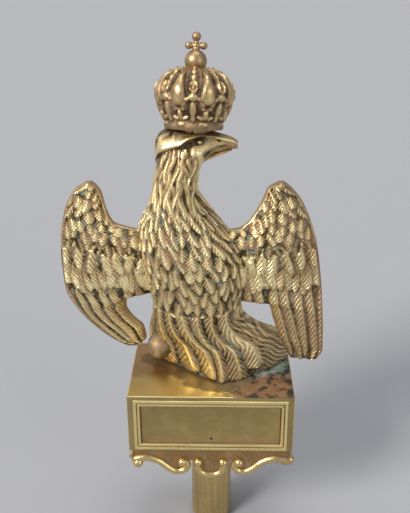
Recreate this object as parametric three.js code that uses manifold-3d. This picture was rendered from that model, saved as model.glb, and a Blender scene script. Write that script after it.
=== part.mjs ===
// Crowned eagle finial in brass: an eagle with raised wings stands on a framed rectangular plinth,
// above a scroll apron and a socket that slides over a pole. Millimetres, +Z up.
// The origin is the centre of the socket's lower mouth. The eagle's back faces -Y and its head turns to +X.

import * as THREE from "three";
import { mergeVertices } from "three/addons/utils/BufferGeometryUtils.js";
import Module from "manifold-3d";

// Driving sizes
const FIT_GAP = 0.3;

const SOCKET_OUTSIDE = 38;
const SOCKET_WALL = 2;
const SOCKET_LENGTH = 100;
const SOCKET_SIDES = 24;

const APRON_PLATE = 3.2;
const APRON_DROP = 28;
const APRON_INSET = 2.4;
const APRON_WALL = 3;
const APRON_ROLL = 2.5;
const APRON_CORNER = 4.8;
const APRON_CORNER_INSET = 1.6;
const APRON_SIDE_SHARE = 0.86;

const PLINTH_WIDTH = 144;
const PLINTH_DEPTH = 92;
const PLINTH_HEIGHT = 56.2;
const PLINTH_BEVEL = 0.9;
const FRAME_SIDE_MARGIN = 4.7;
const FRAME_TOP_MARGIN = 3.6;
const FRAME_BOTTOM_MARGIN = 1.2;
const FRAME_BEAD = 3.2;
const FRAME_RELIEF = 1.3;
const PANEL_RECESS = 2.2;

const EAGLE_HEIGHT = 219.5;
const EAGLE_SHIFT = -13;
const CROWN_AXIS_Y = 15;
const CROWN_SHIFT = -1.5;
const CROWN_SINK = 0.9;
const CROWN_SEAT_RADIUS = 13.5;
const CROWN_SEAT_DEPTH = 6;
const CROWN_TILT_BACK = 10.5;
const CROWN_TILT_RIGHT = 2;

const CROWN_RADIUS = 24.4;
const CROWN_BAND = 5.6;
const CROWN_BULGE_RADIUS = 30.4;
const CROWN_BODY_HEIGHT = 48.5;
const CROWN_ARCHES = 8;
const CUSHION_SWELL = 2.3;
const LEAF_RELIEF = 2.2;
const FLEURON_RELIEF = 1.8;
const ORB_RADIUS = 9;
const CROSS_BALL = 3;
const CROSS_TOP_BALL = 3.7;
const CROSS_ARM = 6;
const CROSS_RISE = 6.9;
const CROSS_STEM = 2.3;

// Levels that follow from the sizes
const APRON_TOP = SOCKET_LENGTH + FIT_GAP + APRON_PLATE;
const PLINTH_BASE = APRON_TOP + FIT_GAP;
const PLINTH_TOP = PLINTH_BASE + PLINTH_HEIGHT;
const EAGLE_BASE = PLINTH_TOP + FIT_GAP;
const CROWN_SEAT_HEIGHT = EAGLE_HEIGHT - CROWN_SINK;

const wasm = await Module();
wasm.setup();

// Solids and meshes

function toSolid(geometry) {
  const bare = geometry.clone();
  bare.deleteAttribute("normal");
  bare.deleteAttribute("uv");
  const merged = mergeVertices(bare, 1e-4);
  const build = (triVerts) =>
    new wasm.Manifold(
      new wasm.Mesh({ numProp: 3, vertProperties: merged.attributes.position.array, triVerts }),
    );
  const triVerts = new Uint32Array(merged.index.array);
  const solid = build(triVerts);
  if (solid.volume() > 0) return solid;
  return build(triVerts.slice().reverse());
}

function joined(solids) {
  return solids.reduce((whole, next) => whole.add(next));
}

function toGeometry(solid) {
  const mesh = solid.getMesh();
  const geometry = new THREE.BufferGeometry();
  geometry.setAttribute("position", new THREE.BufferAttribute(mesh.vertProperties, 3));
  geometry.setIndex(new THREE.BufferAttribute(mesh.triVerts, 1));
  return geometry;
}

function toMesh(name, solid, material) {
  const mesh = new THREE.Mesh(toGeometry(solid), material);
  mesh.geometry.computeVertexNormals();
  mesh.name = name;
  return mesh;
}

function at(geometry, x, y, z) {
  return geometry.translate(x, y, z);
}

function mix(a, b, t) {
  return a + (b - a) * t;
}

// A closed body through rings that have the same number of points, with a cap at each end.
function loft(rings) {
  const count = rings[0].length;
  const points = rings.flat();
  const index = [];
  for (let i = 0; i + 1 < rings.length; i++) {
    for (let j = 0; j < count; j++) {
      const a = i * count + j;
      const b = i * count + ((j + 1) % count);
      index.push(a, b, b + count, a, b + count, a + count);
    }
  }
  const last = (rings.length - 1) * count;
  for (let j = 1; j + 1 < count; j++) {
    index.push(0, j + 1, j);
    index.push(last, last + j, last + j + 1);
  }
  const geometry = new THREE.BufferGeometry().setFromPoints(points);
  geometry.setIndex(index);
  return toSolid(geometry);
}

// A rod along a curve, with the radius given at each share of its length.
function rod(points, radiusAt, sides, steps) {
  const curve = new THREE.CatmullRomCurve3(points);
  const frames = curve.computeFrenetFrames(steps, false);
  const rings = [];
  for (let i = 0; i <= steps; i++) {
    const centre = curve.getPointAt(i / steps);
    const radius = radiusAt(i / steps);
    const ring = [];
    for (let j = 0; j < sides; j++) {
      const angle = (j / sides) * 2 * Math.PI;
      ring.push(
        centre
          .clone()
          .addScaledVector(frames.normals[i], Math.cos(angle) * radius)
          .addScaledVector(frames.binormals[i], Math.sin(angle) * radius),
      );
    }
    rings.push(ring);
  }
  return loft(rings);
}

function ball(radius, x, y, z, detail = 1) {
  return toSolid(at(new THREE.IcosahedronGeometry(radius, detail), x, y, z));
}

function egg(radii, place, turn = [0, 0, 0], detail = 1) {
  const geometry = new THREE.IcosahedronGeometry(1, detail);
  geometry.scale(...radii);
  geometry.rotateX(turn[0]).rotateY(turn[1]).rotateZ(turn[2]);
  return toSolid(at(geometry, ...place));
}

// Finishes

function brass(colour, roughness) {
  return new THREE.MeshStandardMaterial({ color: colour, roughness, metalness: 1 });
}

const EAGLE_BRASS = brass(0x9c7f45, 0.42);
const CROWN_BRASS = brass(0x8f7240, 0.4);
const PLINTH_BRASS = brass(0xa68b42, 0.3);
const APRON_BRASS = brass(0xa88650, 0.36);
const SOCKET_BRASS = brass(0x80642f, 0.38);

// Socket

function makeSocket() {
  const outer = SOCKET_OUTSIDE / 2;
  const inner = outer - SOCKET_WALL;
  const profile = [
    new THREE.Vector2(inner, 0),
    new THREE.Vector2(outer, 0),
    new THREE.Vector2(outer, SOCKET_LENGTH),
    new THREE.Vector2(inner, SOCKET_LENGTH),
    new THREE.Vector2(inner, 0),
  ];
  const tube = new THREE.LatheGeometry(profile, SOCKET_SIDES).rotateX(Math.PI / 2);
  return toMesh("socket", toSolid(tube), SOCKET_BRASS);
}

// Apron: a plate with four skirts, whose lower edges are scrolls with a rolled rim

// One half of the scroll edge, from the middle of a side to its corner, as [share of the half length, share
// of the drop] below the plate: the hanging cup, the spiral, the long sweep and the corner.
const CUP_EDGE = [[0, 1], [0.1, 0.94], [0.17, 0.74], [0.165, 0.5]];
const SWEEP_EDGE = [[0.36, 0.5], [0.3, 0.64], [0.38, 0.85], [0.5, 0.83], [0.64, 0.52], [0.78, 0.34], [0.97, 0.42]];
const CUP_SIDE_SHARE = 0.2;
const CORNER_DROP_SHARE = 0.42;

function edgePoints(edge, half, drop, hand) {
  return edge.map(([share, depth]) => new THREE.Vector2(hand * share * half, -depth * drop));
}

function skirtShape(half, drop) {
  const shape = new THREE.Shape();
  const right = [
    ...edgePoints(CUP_EDGE, half, drop, 1),
    new THREE.Vector2(half * CUP_SIDE_SHARE, -drop * CORNER_DROP_SHARE),
    ...edgePoints(SWEEP_EDGE.slice(1, -1), half, drop, 1),
    new THREE.Vector2(half, -drop * 0.4),
    new THREE.Vector2(half, 0),
  ];
  const left = right.map((p) => new THREE.Vector2(-p.x, p.y)).reverse();
  shape.setFromPoints([...left.slice(0, -1), ...right]);
  return shape;
}

// A skirt stands in the plane y = 0 of its own frame, facing -y, with its rolls on its face.
function makeSkirt(half, drop, steps) {
  const plate = new THREE.ExtrudeGeometry(skirtShape(half, drop), { depth: APRON_WALL, bevelEnabled: false });
  plate.rotateX(Math.PI / 2).translate(0, APRON_WALL, 0);
  const face = 0.1 * APRON_ROLL;
  const lay = (points) => points.map((p) => new THREE.Vector3(p.x, face, p.y));
  const solids = [toSolid(plate)];
  const cup = [
    ...edgePoints(CUP_EDGE, half, drop, -1).reverse(),
    ...edgePoints(CUP_EDGE, half, drop, 1).slice(1),
  ];
  const knobs = (t) => APRON_ROLL * (1 + 0.45 * Math.abs(2 * t - 1) ** 6);
  const knob = (t) => APRON_ROLL * (1.1 + 0.6 * (1 - t) ** 8);
  solids.push(rod(lay(cup), knobs, 5, steps));
  for (const hand of [-1, 1]) solids.push(rod(lay(edgePoints(SWEEP_EDGE, half, drop, hand)), knob, 5, steps));
  return joined(solids);
}

function turned(solid, degrees, x, y) {
  const geometry = toGeometry(solid);
  geometry.rotateZ(THREE.MathUtils.degToRad(degrees)).translate(x, y, APRON_TOP);
  return toSolid(geometry);
}

function makeApron() {
  const width = PLINTH_WIDTH - 2 * APRON_INSET;
  const depth = PLINTH_DEPTH - 2 * APRON_INSET;
  const plate = new THREE.BoxGeometry(width, depth, APRON_PLATE);
  const solids = [toSolid(at(plate, 0, 0, APRON_TOP - APRON_PLATE / 2))];
  const long = makeSkirt(width / 2, APRON_DROP, 7);
  const short = makeSkirt(depth / 2, APRON_DROP * APRON_SIDE_SHARE, 5);
  solids.push(turned(long, 0, 0, -depth / 2), turned(long, 180, 0, depth / 2));
  solids.push(turned(short, 90, width / 2, 0), turned(short, -90, -width / 2, 0));
  const cornerX = width / 2 - APRON_CORNER_INSET;
  const cornerY = depth / 2 - APRON_CORNER_INSET;
  for (const x of [-cornerX, cornerX]) {
    for (const y of [-cornerY, cornerY]) {
      solids.push(ball(APRON_CORNER, x, y, APRON_TOP - APRON_DROP * CORNER_DROP_SHARE, 0));
    }
  }
  // Only what hangs below the plinth is kept, clear of the tube's upper end.
  const above = new THREE.BoxGeometry(2 * PLINTH_WIDTH, 2 * PLINTH_DEPTH, APRON_DROP);
  const cut = toSolid(at(above, 0, 0, APRON_TOP + APRON_DROP / 2));
  return toMesh("apron", joined(solids).subtract(cut), APRON_BRASS);
}

// Plinth: a box whose four sides have a mitred frame of two beads around a sunk panel

// Steps of the frame from its outer edge inwards, as [share of the two beads' width, height over the side].
const FRAME_STEPS = [
  [0, 0],
  [0.1, FRAME_RELIEF],
  [0.42, FRAME_RELIEF],
  [0.54, 0.2],
  [0.64, FRAME_RELIEF * 0.75],
  [0.86, FRAME_RELIEF * 0.75],
  [1.12, -PANEL_RECESS],
];

function framedSide(half, quads) {
  const low = PLINTH_BASE;
  const high = PLINTH_TOP - PLINTH_BEVEL;
  const rings = [{ left: -half, right: half, low, high, out: 0 }];
  for (const [share, out] of FRAME_STEPS) {
    const inwards = share * 2 * FRAME_BEAD;
    rings.push({
      left: -half + FRAME_SIDE_MARGIN + inwards,
      right: half - FRAME_SIDE_MARGIN - inwards,
      low: low + FRAME_BOTTOM_MARGIN + inwards,
      high: high + PLINTH_BEVEL - FRAME_TOP_MARGIN - inwards,
      out,
    });
  }
  const corners = (r) => [
    [r.left, r.low, r.out],
    [r.right, r.low, r.out],
    [r.right, r.high, r.out],
    [r.left, r.high, r.out],
  ];
  for (let i = 0; i + 1 < rings.length; i++) {
    const outer = corners(rings[i]);
    const inner = corners(rings[i + 1]);
    for (let j = 0; j < 4; j++) {
      const k = (j + 1) % 4;
      quads.push([outer[j], outer[k], inner[k], inner[j]]);
    }
  }
  quads.push(corners(rings[rings.length - 1]));
}

function makePlinth() {
  const points = [];
  const index = [];
  const add = (quad) => {
    const first = points.length;
    points.push(...quad);
    index.push(first, first + 1, first + 2, first, first + 2, first + 3);
  };
  const halfW = PLINTH_WIDTH / 2;
  const halfD = PLINTH_DEPTH / 2;
  for (const [degrees, half, reach] of [
    [0, halfW, halfD],
    [90, halfD, halfW],
    [180, halfW, halfD],
    [270, halfD, halfW],
  ]) {
    const quads = [];
    framedSide(half, quads);
    const turn = new THREE.Matrix4().makeRotationZ(THREE.MathUtils.degToRad(degrees));
    for (const quad of quads) {
      add(quad.map(([along, z, out]) => new THREE.Vector3(along, -reach - out, z).applyMatrix4(turn)));
    }
  }
  const level = (inset, z) => [
    new THREE.Vector3(-halfW + inset, -halfD + inset, z),
    new THREE.Vector3(halfW - inset, -halfD + inset, z),
    new THREE.Vector3(halfW - inset, halfD - inset, z),
    new THREE.Vector3(-halfW + inset, halfD - inset, z),
  ];
  const brim = level(0, PLINTH_TOP - PLINTH_BEVEL);
  const top = level(PLINTH_BEVEL, PLINTH_TOP);
  for (let j = 0; j < 4; j++) {
    const k = (j + 1) % 4;
    add([brim[j], brim[k], top[k], top[j]]);
  }
  add(top);
  add(level(0, PLINTH_BASE).reverse());
  const geometry = new THREE.BufferGeometry().setFromPoints(points);
  geometry.setIndex(index);
  return toMesh("plinth", toSolid(geometry), PLINTH_BRASS);
}

// Crown, in its own frame: its base is the plane z = 0 and it stands on the z axis

// The outline from the band to the middle of the roof, as [radius, height].
const CROWN_PROFILE = [
  [CROWN_RADIUS * 0.97, 0],
  [CROWN_RADIUS, CROWN_BAND * 0.5],
  [CROWN_RADIUS * 0.98, CROWN_BAND],
  [CROWN_RADIUS * 1.1, CROWN_BODY_HEIGHT * 0.3],
  [CROWN_BULGE_RADIUS * 0.98, CROWN_BODY_HEIGHT * 0.48],
  [CROWN_BULGE_RADIUS, CROWN_BODY_HEIGHT * 0.6],
  [CROWN_BULGE_RADIUS * 0.87, CROWN_BODY_HEIGHT * 0.78],
  [CROWN_BULGE_RADIUS * 0.69, CROWN_BODY_HEIGHT * 0.9],
  [CROWN_BULGE_RADIUS * 0.43, CROWN_BODY_HEIGHT * 0.98],
  [CROWN_BULGE_RADIUS * 0.13, CROWN_BODY_HEIGHT],
];

function crownRadiusAt(z) {
  for (let i = 0; i + 1 < CROWN_PROFILE.length; i++) {
    const [r0, z0] = CROWN_PROFILE[i];
    const [r1, z1] = CROWN_PROFILE[i + 1];
    if (z <= z1) return mix(r0, r1, (z - z0) / (z1 - z0));
  }
  return CROWN_PROFILE[CROWN_PROFILE.length - 1][0];
}

// A leaf's height over the crown. aside is the share of its half space, up the share of its height.
function leafRelief(aside, up, width, height) {
  if (up < 0 || up > 1) return 0;
  const half = width * (up < 0.7 ? mix(0.45, 1, up / 0.7) : mix(1, 0.2, (up - 0.7) / 0.3));
  return height * Math.max(0, 1 - aside / half);
}

// Relief at a share of the height, where aside runs from 0 on an arch to 1 between two arches: leaves at
// the feet of the arches, low leaves between them, pearls on the arches and cushions between.
const PEARLS = [
  [0.7, 1.8],
  [0.84, 1.8],
  [0.93, 1.5],
];

function crownRelief(aside, share) {
  const tall = leafRelief(aside, (share - 0.14) / 0.47, 0.6, LEAF_RELIEF);
  const low = leafRelief(1 - aside, (share - 0.14) / 0.21, 0.55, FLEURON_RELIEF);
  const pearl = PEARLS.reduce((most, [place, size]) => {
    const near = Math.abs(share - place) < 0.01 && aside < 0.1;
    return near ? Math.max(most, size) : most;
  }, 0);
  const rise = (share - 0.36) / 0.6;
  const cushion = rise > 0 && rise < 1 ? CUSHION_SWELL * Math.sqrt(Math.sin(Math.PI * rise) * aside) : 0;
  return Math.max(tall, low, pearl, cushion);
}

const CROWN_LEVELS = [
  0, 0.06, 0.115, 0.15, 0.28, 0.34, 0.36, 0.47, 0.6, 0.62, 0.66, 0.7, 0.77, 0.84, 0.88, 0.93, 0.97, 1,
];
const CROWN_COLUMNS = [0, 0.5, 1, 1.5];

function makeCrown() {
  const rings = CROWN_LEVELS.map((share) => {
    const ring = [];
    for (let arch = 0; arch < CROWN_ARCHES; arch++) {
      for (const column of CROWN_COLUMNS) {
        const angle = ((arch + column / 2) / CROWN_ARCHES) * 2 * Math.PI;
        const aside = 1 - Math.abs(1 - column);
        const radius = crownRadiusAt(share * CROWN_BODY_HEIGHT) + crownRelief(aside, share);
        const z = share * CROWN_BODY_HEIGHT;
        ring.push(new THREE.Vector3(Math.cos(angle) * radius, Math.sin(angle) * radius, z));
      }
    }
    return ring;
  });
  const solids = [loft(rings)];
  const orbHeight = CROWN_BODY_HEIGHT + ORB_RADIUS * 0.55;
  solids.push(ball(ORB_RADIUS, 0, 0, orbHeight));
  const armHeight = orbHeight + ORB_RADIUS + CROSS_BALL;
  const topHeight = armHeight + CROSS_RISE;
  const stem = new THREE.CylinderGeometry(CROSS_STEM, CROSS_STEM, topHeight - orbHeight, 6);
  solids.push(toSolid(at(stem.rotateX(Math.PI / 2), 0, 0, (topHeight + orbHeight) / 2)));
  const arm = new THREE.CylinderGeometry(CROSS_STEM, CROSS_STEM, 2 * CROSS_ARM, 6);
  solids.push(toSolid(at(arm.rotateZ(Math.PI / 2), 0, 0, armHeight)));
  for (const x of [-CROSS_ARM, CROSS_ARM]) solids.push(ball(CROSS_BALL, x, 0, armHeight));
  solids.push(ball(CROSS_TOP_BALL, 0, 0, topHeight));
  const mesh = toMesh("crown", joined(solids), CROWN_BRASS);
  crownFrame(mesh);
  return mesh;
}

// Puts an object that is made in the crown's frame on the head.
function crownFrame(object) {
  object.position.set(EAGLE_SHIFT + CROWN_SHIFT, CROWN_AXIS_Y, EAGLE_BASE + CROWN_SEAT_HEIGHT);
  object.rotation.set(
    THREE.MathUtils.degToRad(-CROWN_TILT_BACK),
    THREE.MathUtils.degToRad(CROWN_TILT_RIGHT),
    0,
  );
  object.updateMatrixWorld(true);
}

// Eagle, in its own frame: x from the middle of its body, z from the plinth's top. Its tables are those of
// one drawn figure, and the whole figure is scaled from the drawn height to its own height.

// Levels of neck, body and tail, from the foot of the tail upwards:
// height, left, right, back of the bird, breast, depth of the widest place, squareness of the outline.
const BODY_LEVELS = [
  [0, -44.5, 87, -24, 33, 29, 1.25],
  [10, -44.5, 85, -23, 32, 27, 1.3],
  [20, -44.5, 81.5, -22, 31, 24, 1.35],
  [30, -44, 74.5, -22, 30, 22, 1.4],
  [38, -42.5, 58, -22, 30, 19, 1.5],
  [44, -41, 49.5, -22.5, 30, 17, 1.6],
  [50, -39.5, 43.5, -23, 31, 14, 1.7],
  [58, -38.5, 39.5, -24, 33, 11, 1.8],
  [68, -38, 38.5, -25, 36, 9, 1.9],
  [82, -40, 41, -26.5, 41, 8, 2],
  [100, -44, 42, -27.5, 45, 8, 2],
  [118, -48, 38, -26.5, 46, 8, 2],
  [134, -48, 26, -23.5, 43, 8, 2],
  [146, -44, 16.5, -20.5, 39, 8, 2],
  [158, -38.5, 4.5, -17.5, 34, 8, 2],
  [170, -34.5, 0.8, -14.5, 31, 8, 2],
  [182, -32.5, 1, -12.5, 30, 9, 2],
  [194, -31, 5, -10, 29, 10, 2],
  [206, -30, 2, -6, 26, 11, 2],
];

// The right half of the tail's outline is fuller than the left.
const TAIL_SKEW = 0.2;

// A point of the body at a height and an angle round it, raised above its plain form by lift.
function bodyPoint(height, angle, lift) {
  const above = Math.min(BODY_LEVELS.length - 1, Math.max(1, BODY_LEVELS.findIndex(([z]) => z >= height)));
  const [z0, ...low] = BODY_LEVELS[above - 1];
  const [z1, ...high] = BODY_LEVELS[above];
  const share = (height - z0) / (z1 - z0);
  const [left, right, back, breast, widest, square] = low.map((value, k) => mix(value, high[k], share));
  const middle = (left + right) / 2;
  const c = Math.cos(angle);
  const s = Math.sin(angle);
  const reachX = lift + (c < 0 ? middle - left : right - middle);
  const reachY = lift + (s < 0 ? widest - back : breast - widest);
  const skew = TAIL_SKEW * (2 - square) * Math.sign(c);
  const power = s < 0 ? 2 / (square + skew) : 1;
  const x = middle + Math.sign(c) * reachX * Math.abs(c) ** power;
  const y = widest + Math.sign(s) * reachY * Math.abs(s) ** power;
  return new THREE.Vector3(x, y, height);
}

// Feathers round the body, in rows set half a feather aside from each other. A row is a step: its tips
// stand off the form, and the row below starts under them.
const FEATHERS_ROUND = 18;
const FEATHER_ROWS = 11;
const FEATHER_TOP = 196;
const FEATHER_FOOT = 66;
const FEATHER_LIFT = 2.6;
const FEATHER_POINT = 3.4;
const NECK_STRETCH = 0.8;
const FEATHER_STEP = 0.9;
const TAIL_ROWS = [50, 33, 16, 0];

function makeBody() {
  const columns = 2 * FEATHERS_ROUND;
  const angleOf = (j) => (j / columns) * 2 * Math.PI;
  const rings = [];
  const ring = (heightOf, liftOf) => {
    const points = [];
    for (let j = 0; j < columns; j++) points.push(bodyPoint(heightOf(j), angleOf(j), liftOf(j)));
    rings.push(points);
  };
  const [topHeight] = BODY_LEVELS[BODY_LEVELS.length - 1];
  ring(() => topHeight, () => 0);
  for (let row = 0; row < FEATHER_ROWS; row++) {
    const height = mix(FEATHER_TOP, FEATHER_FOOT, (row / (FEATHER_ROWS - 1)) ** NECK_STRETCH);
    const quill = (j) => (j + row) % 2 === 0;
    const edge = (j) => height + (quill(j) ? -FEATHER_POINT : FEATHER_POINT);
    ring(edge, (j) => (quill(j) ? FEATHER_LIFT : 0.5));
    ring((j) => edge(j) - FEATHER_STEP, () => 0);
  }
  // The long tail feathers keep their quills raised down to the plinth.
  const tailQuill = (j) => (j + FEATHER_ROWS) % 2 === 0;
  for (const height of TAIL_ROWS) {
    ring(() => height, (j) => (tailQuill(j) ? FEATHER_LIFT : 0));
  }
  return loft(rings);
}

// Sections of the head along x, from the nape to the beak's tip: place, half width, top, brow ridge, hollow
// under the ridge, cheek and underside.
const HEAD_SECTIONS = [
  [-32.6, 8.5, 211, 197, 2.5, 187, 176],
  [-29.5, 13, 215.5, 203.8, 3, 192, 174],
  [-23, 16, 218.5, 206.8, 4, 194, 173],
  [-12.5, 17.5, 219.5, 210.4, 4.5, 197, 174],
  [-4.5, 16.8, 219.3, 215.4, 4.5, 198.5, 179],
  [4.5, 14, 218.6, 217.2, 3.5, 201, 188.5],
  [12, 9.8, 217.2, 216, 1.5, 204, 197.5],
  [18, 7.8, 216, 213.8, 0.6, 206.5, 202],
  [25, 6.6, 214.2, 211.5, 0.2, 207.5, 203.4],
  [31, 4.6, 211, 209, 0, 206.8, 204],
  [34.4, 2, 208, 207, 0, 205.8, 204.6],
];
const HEAD_MIDDLE_Y = 12;
const DRAWN_HEIGHT = Math.max(...HEAD_SECTIONS.map(([, , top]) => top));

function headRing([x, half, top, ridge, hollow, cheek, under]) {
  const side = [
    [0.5, top - 0.4],
    [1, ridge],
    [1 - hollow / half, mix(ridge, cheek, 0.4)],
    [0.96, cheek],
    [0.62, mix(cheek, under, 0.75)],
  ];
  const near = side.map(([share, z]) => new THREE.Vector3(x, HEAD_MIDDLE_Y - share * half, z));
  const far = side.map(([share, z]) => new THREE.Vector3(x, HEAD_MIDDLE_Y + share * half, z)).reverse();
  const crest = new THREE.Vector3(x, HEAD_MIDDLE_Y, top);
  const keel = new THREE.Vector3(x, HEAD_MIDDLE_Y, under);
  return [crest, ...near, keel, ...far];
}

// The lower mandible: place along x, half width, top and underside.
const JAW_SECTIONS = [
  [-2, 8, 196, 184],
  [8, 6, 197.5, 192.6],
  [15, 4.4, 199, 195.6],
  [22, 3.4, 201.2, 198.4],
  [30, 1.8, 203, 201.4],
];

function jawRing([x, half, top, under]) {
  return [
    [-0.5, top],
    [-1, mix(top, under, 0.45)],
    [0, under],
    [1, mix(top, under, 0.45)],
    [0.5, top],
  ].map(([share, z]) => new THREE.Vector3(x, HEAD_MIDDLE_Y + share * half, z));
}

// Wings: rows from the raised wrist down to the tip, each from the outer to the inner edge of the wing as
// outer x and z, inner x and z, outer and inner y.
const LEFT_WING = [
  [-91.5, 175.4, -86.5, 175.8, 9, 9],
  [-102, 168, -80, 168.5, 9, 8],
  [-111, 150.5, -75, 150, 9, 7],
  [-115.5, 128, -68, 137.6, 8, 6],
  [-116.6, 108.6, -32, 136, 7, 5],
  [-116, 92, -30, 118, 6, 4],
  [-114, 76, -36, 77, 5, 3],
  [-107.5, 62.5, -49, 75.5, 5, 3],
  [-98.5, 50, -61, 71, 5, 5],
  [-87.5, 38, -62.5, 60.5, 6, 7],
  [-74.5, 26.5, -57, 48.5, 8, 9],
  [-61, 19.5, -48.5, 38, 9, 11],
  [-53, 20, -46, 27, 9, 11],
];
const RIGHT_WING = [
  [73, 176.4, 69, 176, 9, 9],
  [79.4, 171, 60.5, 171, 9, 8],
  [89, 159.1, 55, 158.6, 9, 7],
  [96.8, 142.5, 48.5, 147.5, 8, 6],
  [102.4, 124.7, 38, 138.4, 7, 5],
  [105.8, 105.6, 6, 137.5, 6, 4],
  [108.7, 84.1, 22, 78, 5, 3],
  [110.1, 70, 42, 69.5, 4, 2],
  [111, 57.6, 62, 68.3, 3, 2],
  [112.2, 40.1, 67.5, 53, 2, 2],
  [112.7, 22.2, 75, 31, 1, 2],
  [107.9, 11.4, 84.5, 12.4, 1, 2],
];
const WING_THICKNESS = 9.5;
const WING_BOW = 6;
const WING_FEATHERS = 7;
const WING_STEPS = [0, 0.1, 0.2, 0.31, 0.44, 0.57, 1];
const WING_POINT = 0.018;
const WING_STEP = 0.006;
const WING_BACK_COLUMNS = 3;

function wingRow(rows, share) {
  const last = rows.length - 1;
  const place = Math.min(share, 1) * last;
  const i = Math.min(Math.floor(place), last - 1);
  return rows[i].map((value, k) => mix(value, rows[i + 1][k], place - i));
}

// A point of a wing: across from the outer to the inner edge, along from wrist to tip, on the side that
// faces -y for side -1 and +y for side 1, raised above its plain form by lift.
function wingPoint(rows, across, along, side, lift) {
  const [outX, outZ, inX, inZ, outY, inY] = wingRow(rows, along);
  const bow = WING_BOW * Math.sin(Math.PI * across) * Math.sin(Math.PI * Math.min(1, along + 0.12));
  const ends = Math.min(1, 0.6 + 4 * along, 0.6 + 4 * (1 - along));
  const half = (WING_THICKNESS / 2) * ends * mix(0.62, 1, Math.sin(Math.PI * across));
  const y = mix(outY, inY, across) - bow + side * (half + lift);
  return new THREE.Vector3(mix(outX, inX, across), y, mix(outZ, inZ, across));
}

function makeWing(rows) {
  const columns = 2 * WING_FEATHERS;
  const rings = [];
  const ring = (alongOf, liftOf) => {
    const points = [];
    for (let j = 0; j <= columns; j++) points.push(wingPoint(rows, j / columns, alongOf(j), -1, liftOf(j)));
    const along = alongOf(0);
    for (let j = WING_BACK_COLUMNS; j >= 0; j--) {
      points.push(wingPoint(rows, j / WING_BACK_COLUMNS, along, 1, 0));
    }
    rings.push(points);
  };
  const rim = (j) => j === 0 || j === columns;
  const lastRow = WING_STEPS.length - 2;
  const quill = (j, row) => !rim(j) && (j + row) % 2 === 1;
  const point = (j, row) => (rim(j) ? 0 : quill(j, row) ? WING_POINT : -WING_POINT);
  ring(() => 0, () => 0);
  for (let row = 0; row <= lastRow; row++) {
    const start = (j) => WING_STEPS[row] + (row === 0 ? 0 : point(j, row - 1) + WING_STEP);
    const end = (j) => (row === lastRow ? 0.985 : WING_STEPS[row + 1]) + point(j, row) * 0.8;
    const parts = row === lastRow ? 5 : row < 2 ? 1 : 2;
    for (let part = 1; part < parts; part++) {
      const share = part / parts;
      ring((j) => mix(start(j), end(j), share), (j) => (quill(j, row) ? FEATHER_LIFT * mix(0.5, 1, share) : 0));
    }
    ring(end, (j) => (quill(j, row) ? FEATHER_LIFT * (row === lastRow ? 0.3 : 1) : 0.4));
    if (row < lastRow) ring((j) => end(j) + WING_STEP, () => 0);
  }
  return loft(rings);
}

// A smooth swelling at the foot of the tail, on the left.
const KNUCKLE_SIZE = [10.5, 14, 12.5];
const KNUCKLE_PLACE = [-34.5, 10, 24];

// Legs and feet on the breast side, plainer than the back. Lines are given as [y, z] points.
const LEG_PLACES = [-24, 14];
const THIGH_SIZE = [13, 11, 24];
const THIGH_PLACE = [27, 66];
const THIGH_LEAN = 0.12;
const SHANK_LINE = [[30, 60], [34, 30], [35, 4]];
const SHANK_RADII = [7.5, 5.5];
const TOE_LINE = [[33, 6], [39, 6], [43, 2.5]];
const TOE_RADII = [4.4, 1.8];
const TOE_SPREADS = [-11, 0, 11];

function makeLeg(x) {
  const line = (points, spread) =>
    points.map(([y, z], i) => new THREE.Vector3(x + (spread * i) / (points.length - 1), y, z));
  const shank = rod(line(SHANK_LINE, 0), (t) => mix(...SHANK_RADII, t), 7, 3);
  const solids = [egg(THIGH_SIZE, [x, ...THIGH_PLACE], [THIGH_LEAN, 0, 0]), shank];
  for (const spread of TOE_SPREADS) solids.push(rod(line(TOE_LINE, spread), (t) => mix(...TOE_RADII, t), 5, 3));
  return joined(solids);
}

// A solid from an object that is made in the crown's frame, given in the eagle's frame.
function placedInEagle(object) {
  crownFrame(object);
  const geometry = object.geometry.clone().applyMatrix4(object.matrixWorld);
  return toSolid(geometry.translate(-EAGLE_SHIFT, 0, -EAGLE_BASE));
}

// The room that the crown takes, and the round seat under it, both in the crown's frame.
const ROOM_MARGIN = 3;
const SEAT_SIDES = 20;

function makeEagle() {
  const seat = new THREE.Mesh(
    new THREE.CylinderGeometry(CROWN_SEAT_RADIUS, CROWN_SEAT_RADIUS, CROWN_SEAT_DEPTH, SEAT_SIDES)
      .rotateX(Math.PI / 2)
      .translate(0, 0, -CROWN_SEAT_DEPTH / 2),
  );
  const roomTop = CROWN_BULGE_RADIUS + ROOM_MARGIN;
  const roomFoot = CROWN_RADIUS + ROOM_MARGIN;
  const crownRoom = new THREE.Mesh(
    new THREE.CylinderGeometry(roomTop, roomFoot, CROWN_BODY_HEIGHT, SEAT_SIDES)
      .rotateX(-Math.PI / 2)
      .translate(0, 0, CROWN_BODY_HEIGHT / 2 - FIT_GAP),
  );
  const ground = new THREE.BoxGeometry(2 * PLINTH_WIDTH, 2 * PLINTH_DEPTH, PLINTH_HEIGHT);
  const below = toSolid(at(ground, 0, 0, -PLINTH_HEIGHT / 2));
  const figure = joined([
    makeBody(),
    loft(HEAD_SECTIONS.map(headRing)),
    loft(JAW_SECTIONS.map(jawRing)),
    egg(KNUCKLE_SIZE, KNUCKLE_PLACE),
    makeWing(LEFT_WING),
    makeWing(RIGHT_WING),
    ...LEG_PLACES.map(makeLeg),
  ]).scale(EAGLE_HEIGHT / DRAWN_HEIGHT);
  const cut = figure.add(placedInEagle(seat)).subtract(placedInEagle(crownRoom)).subtract(below);
  const mesh = toMesh("eagle", cut, EAGLE_BRASS);
  mesh.position.set(EAGLE_SHIFT, 0, EAGLE_BASE);
  return mesh;
}

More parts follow.
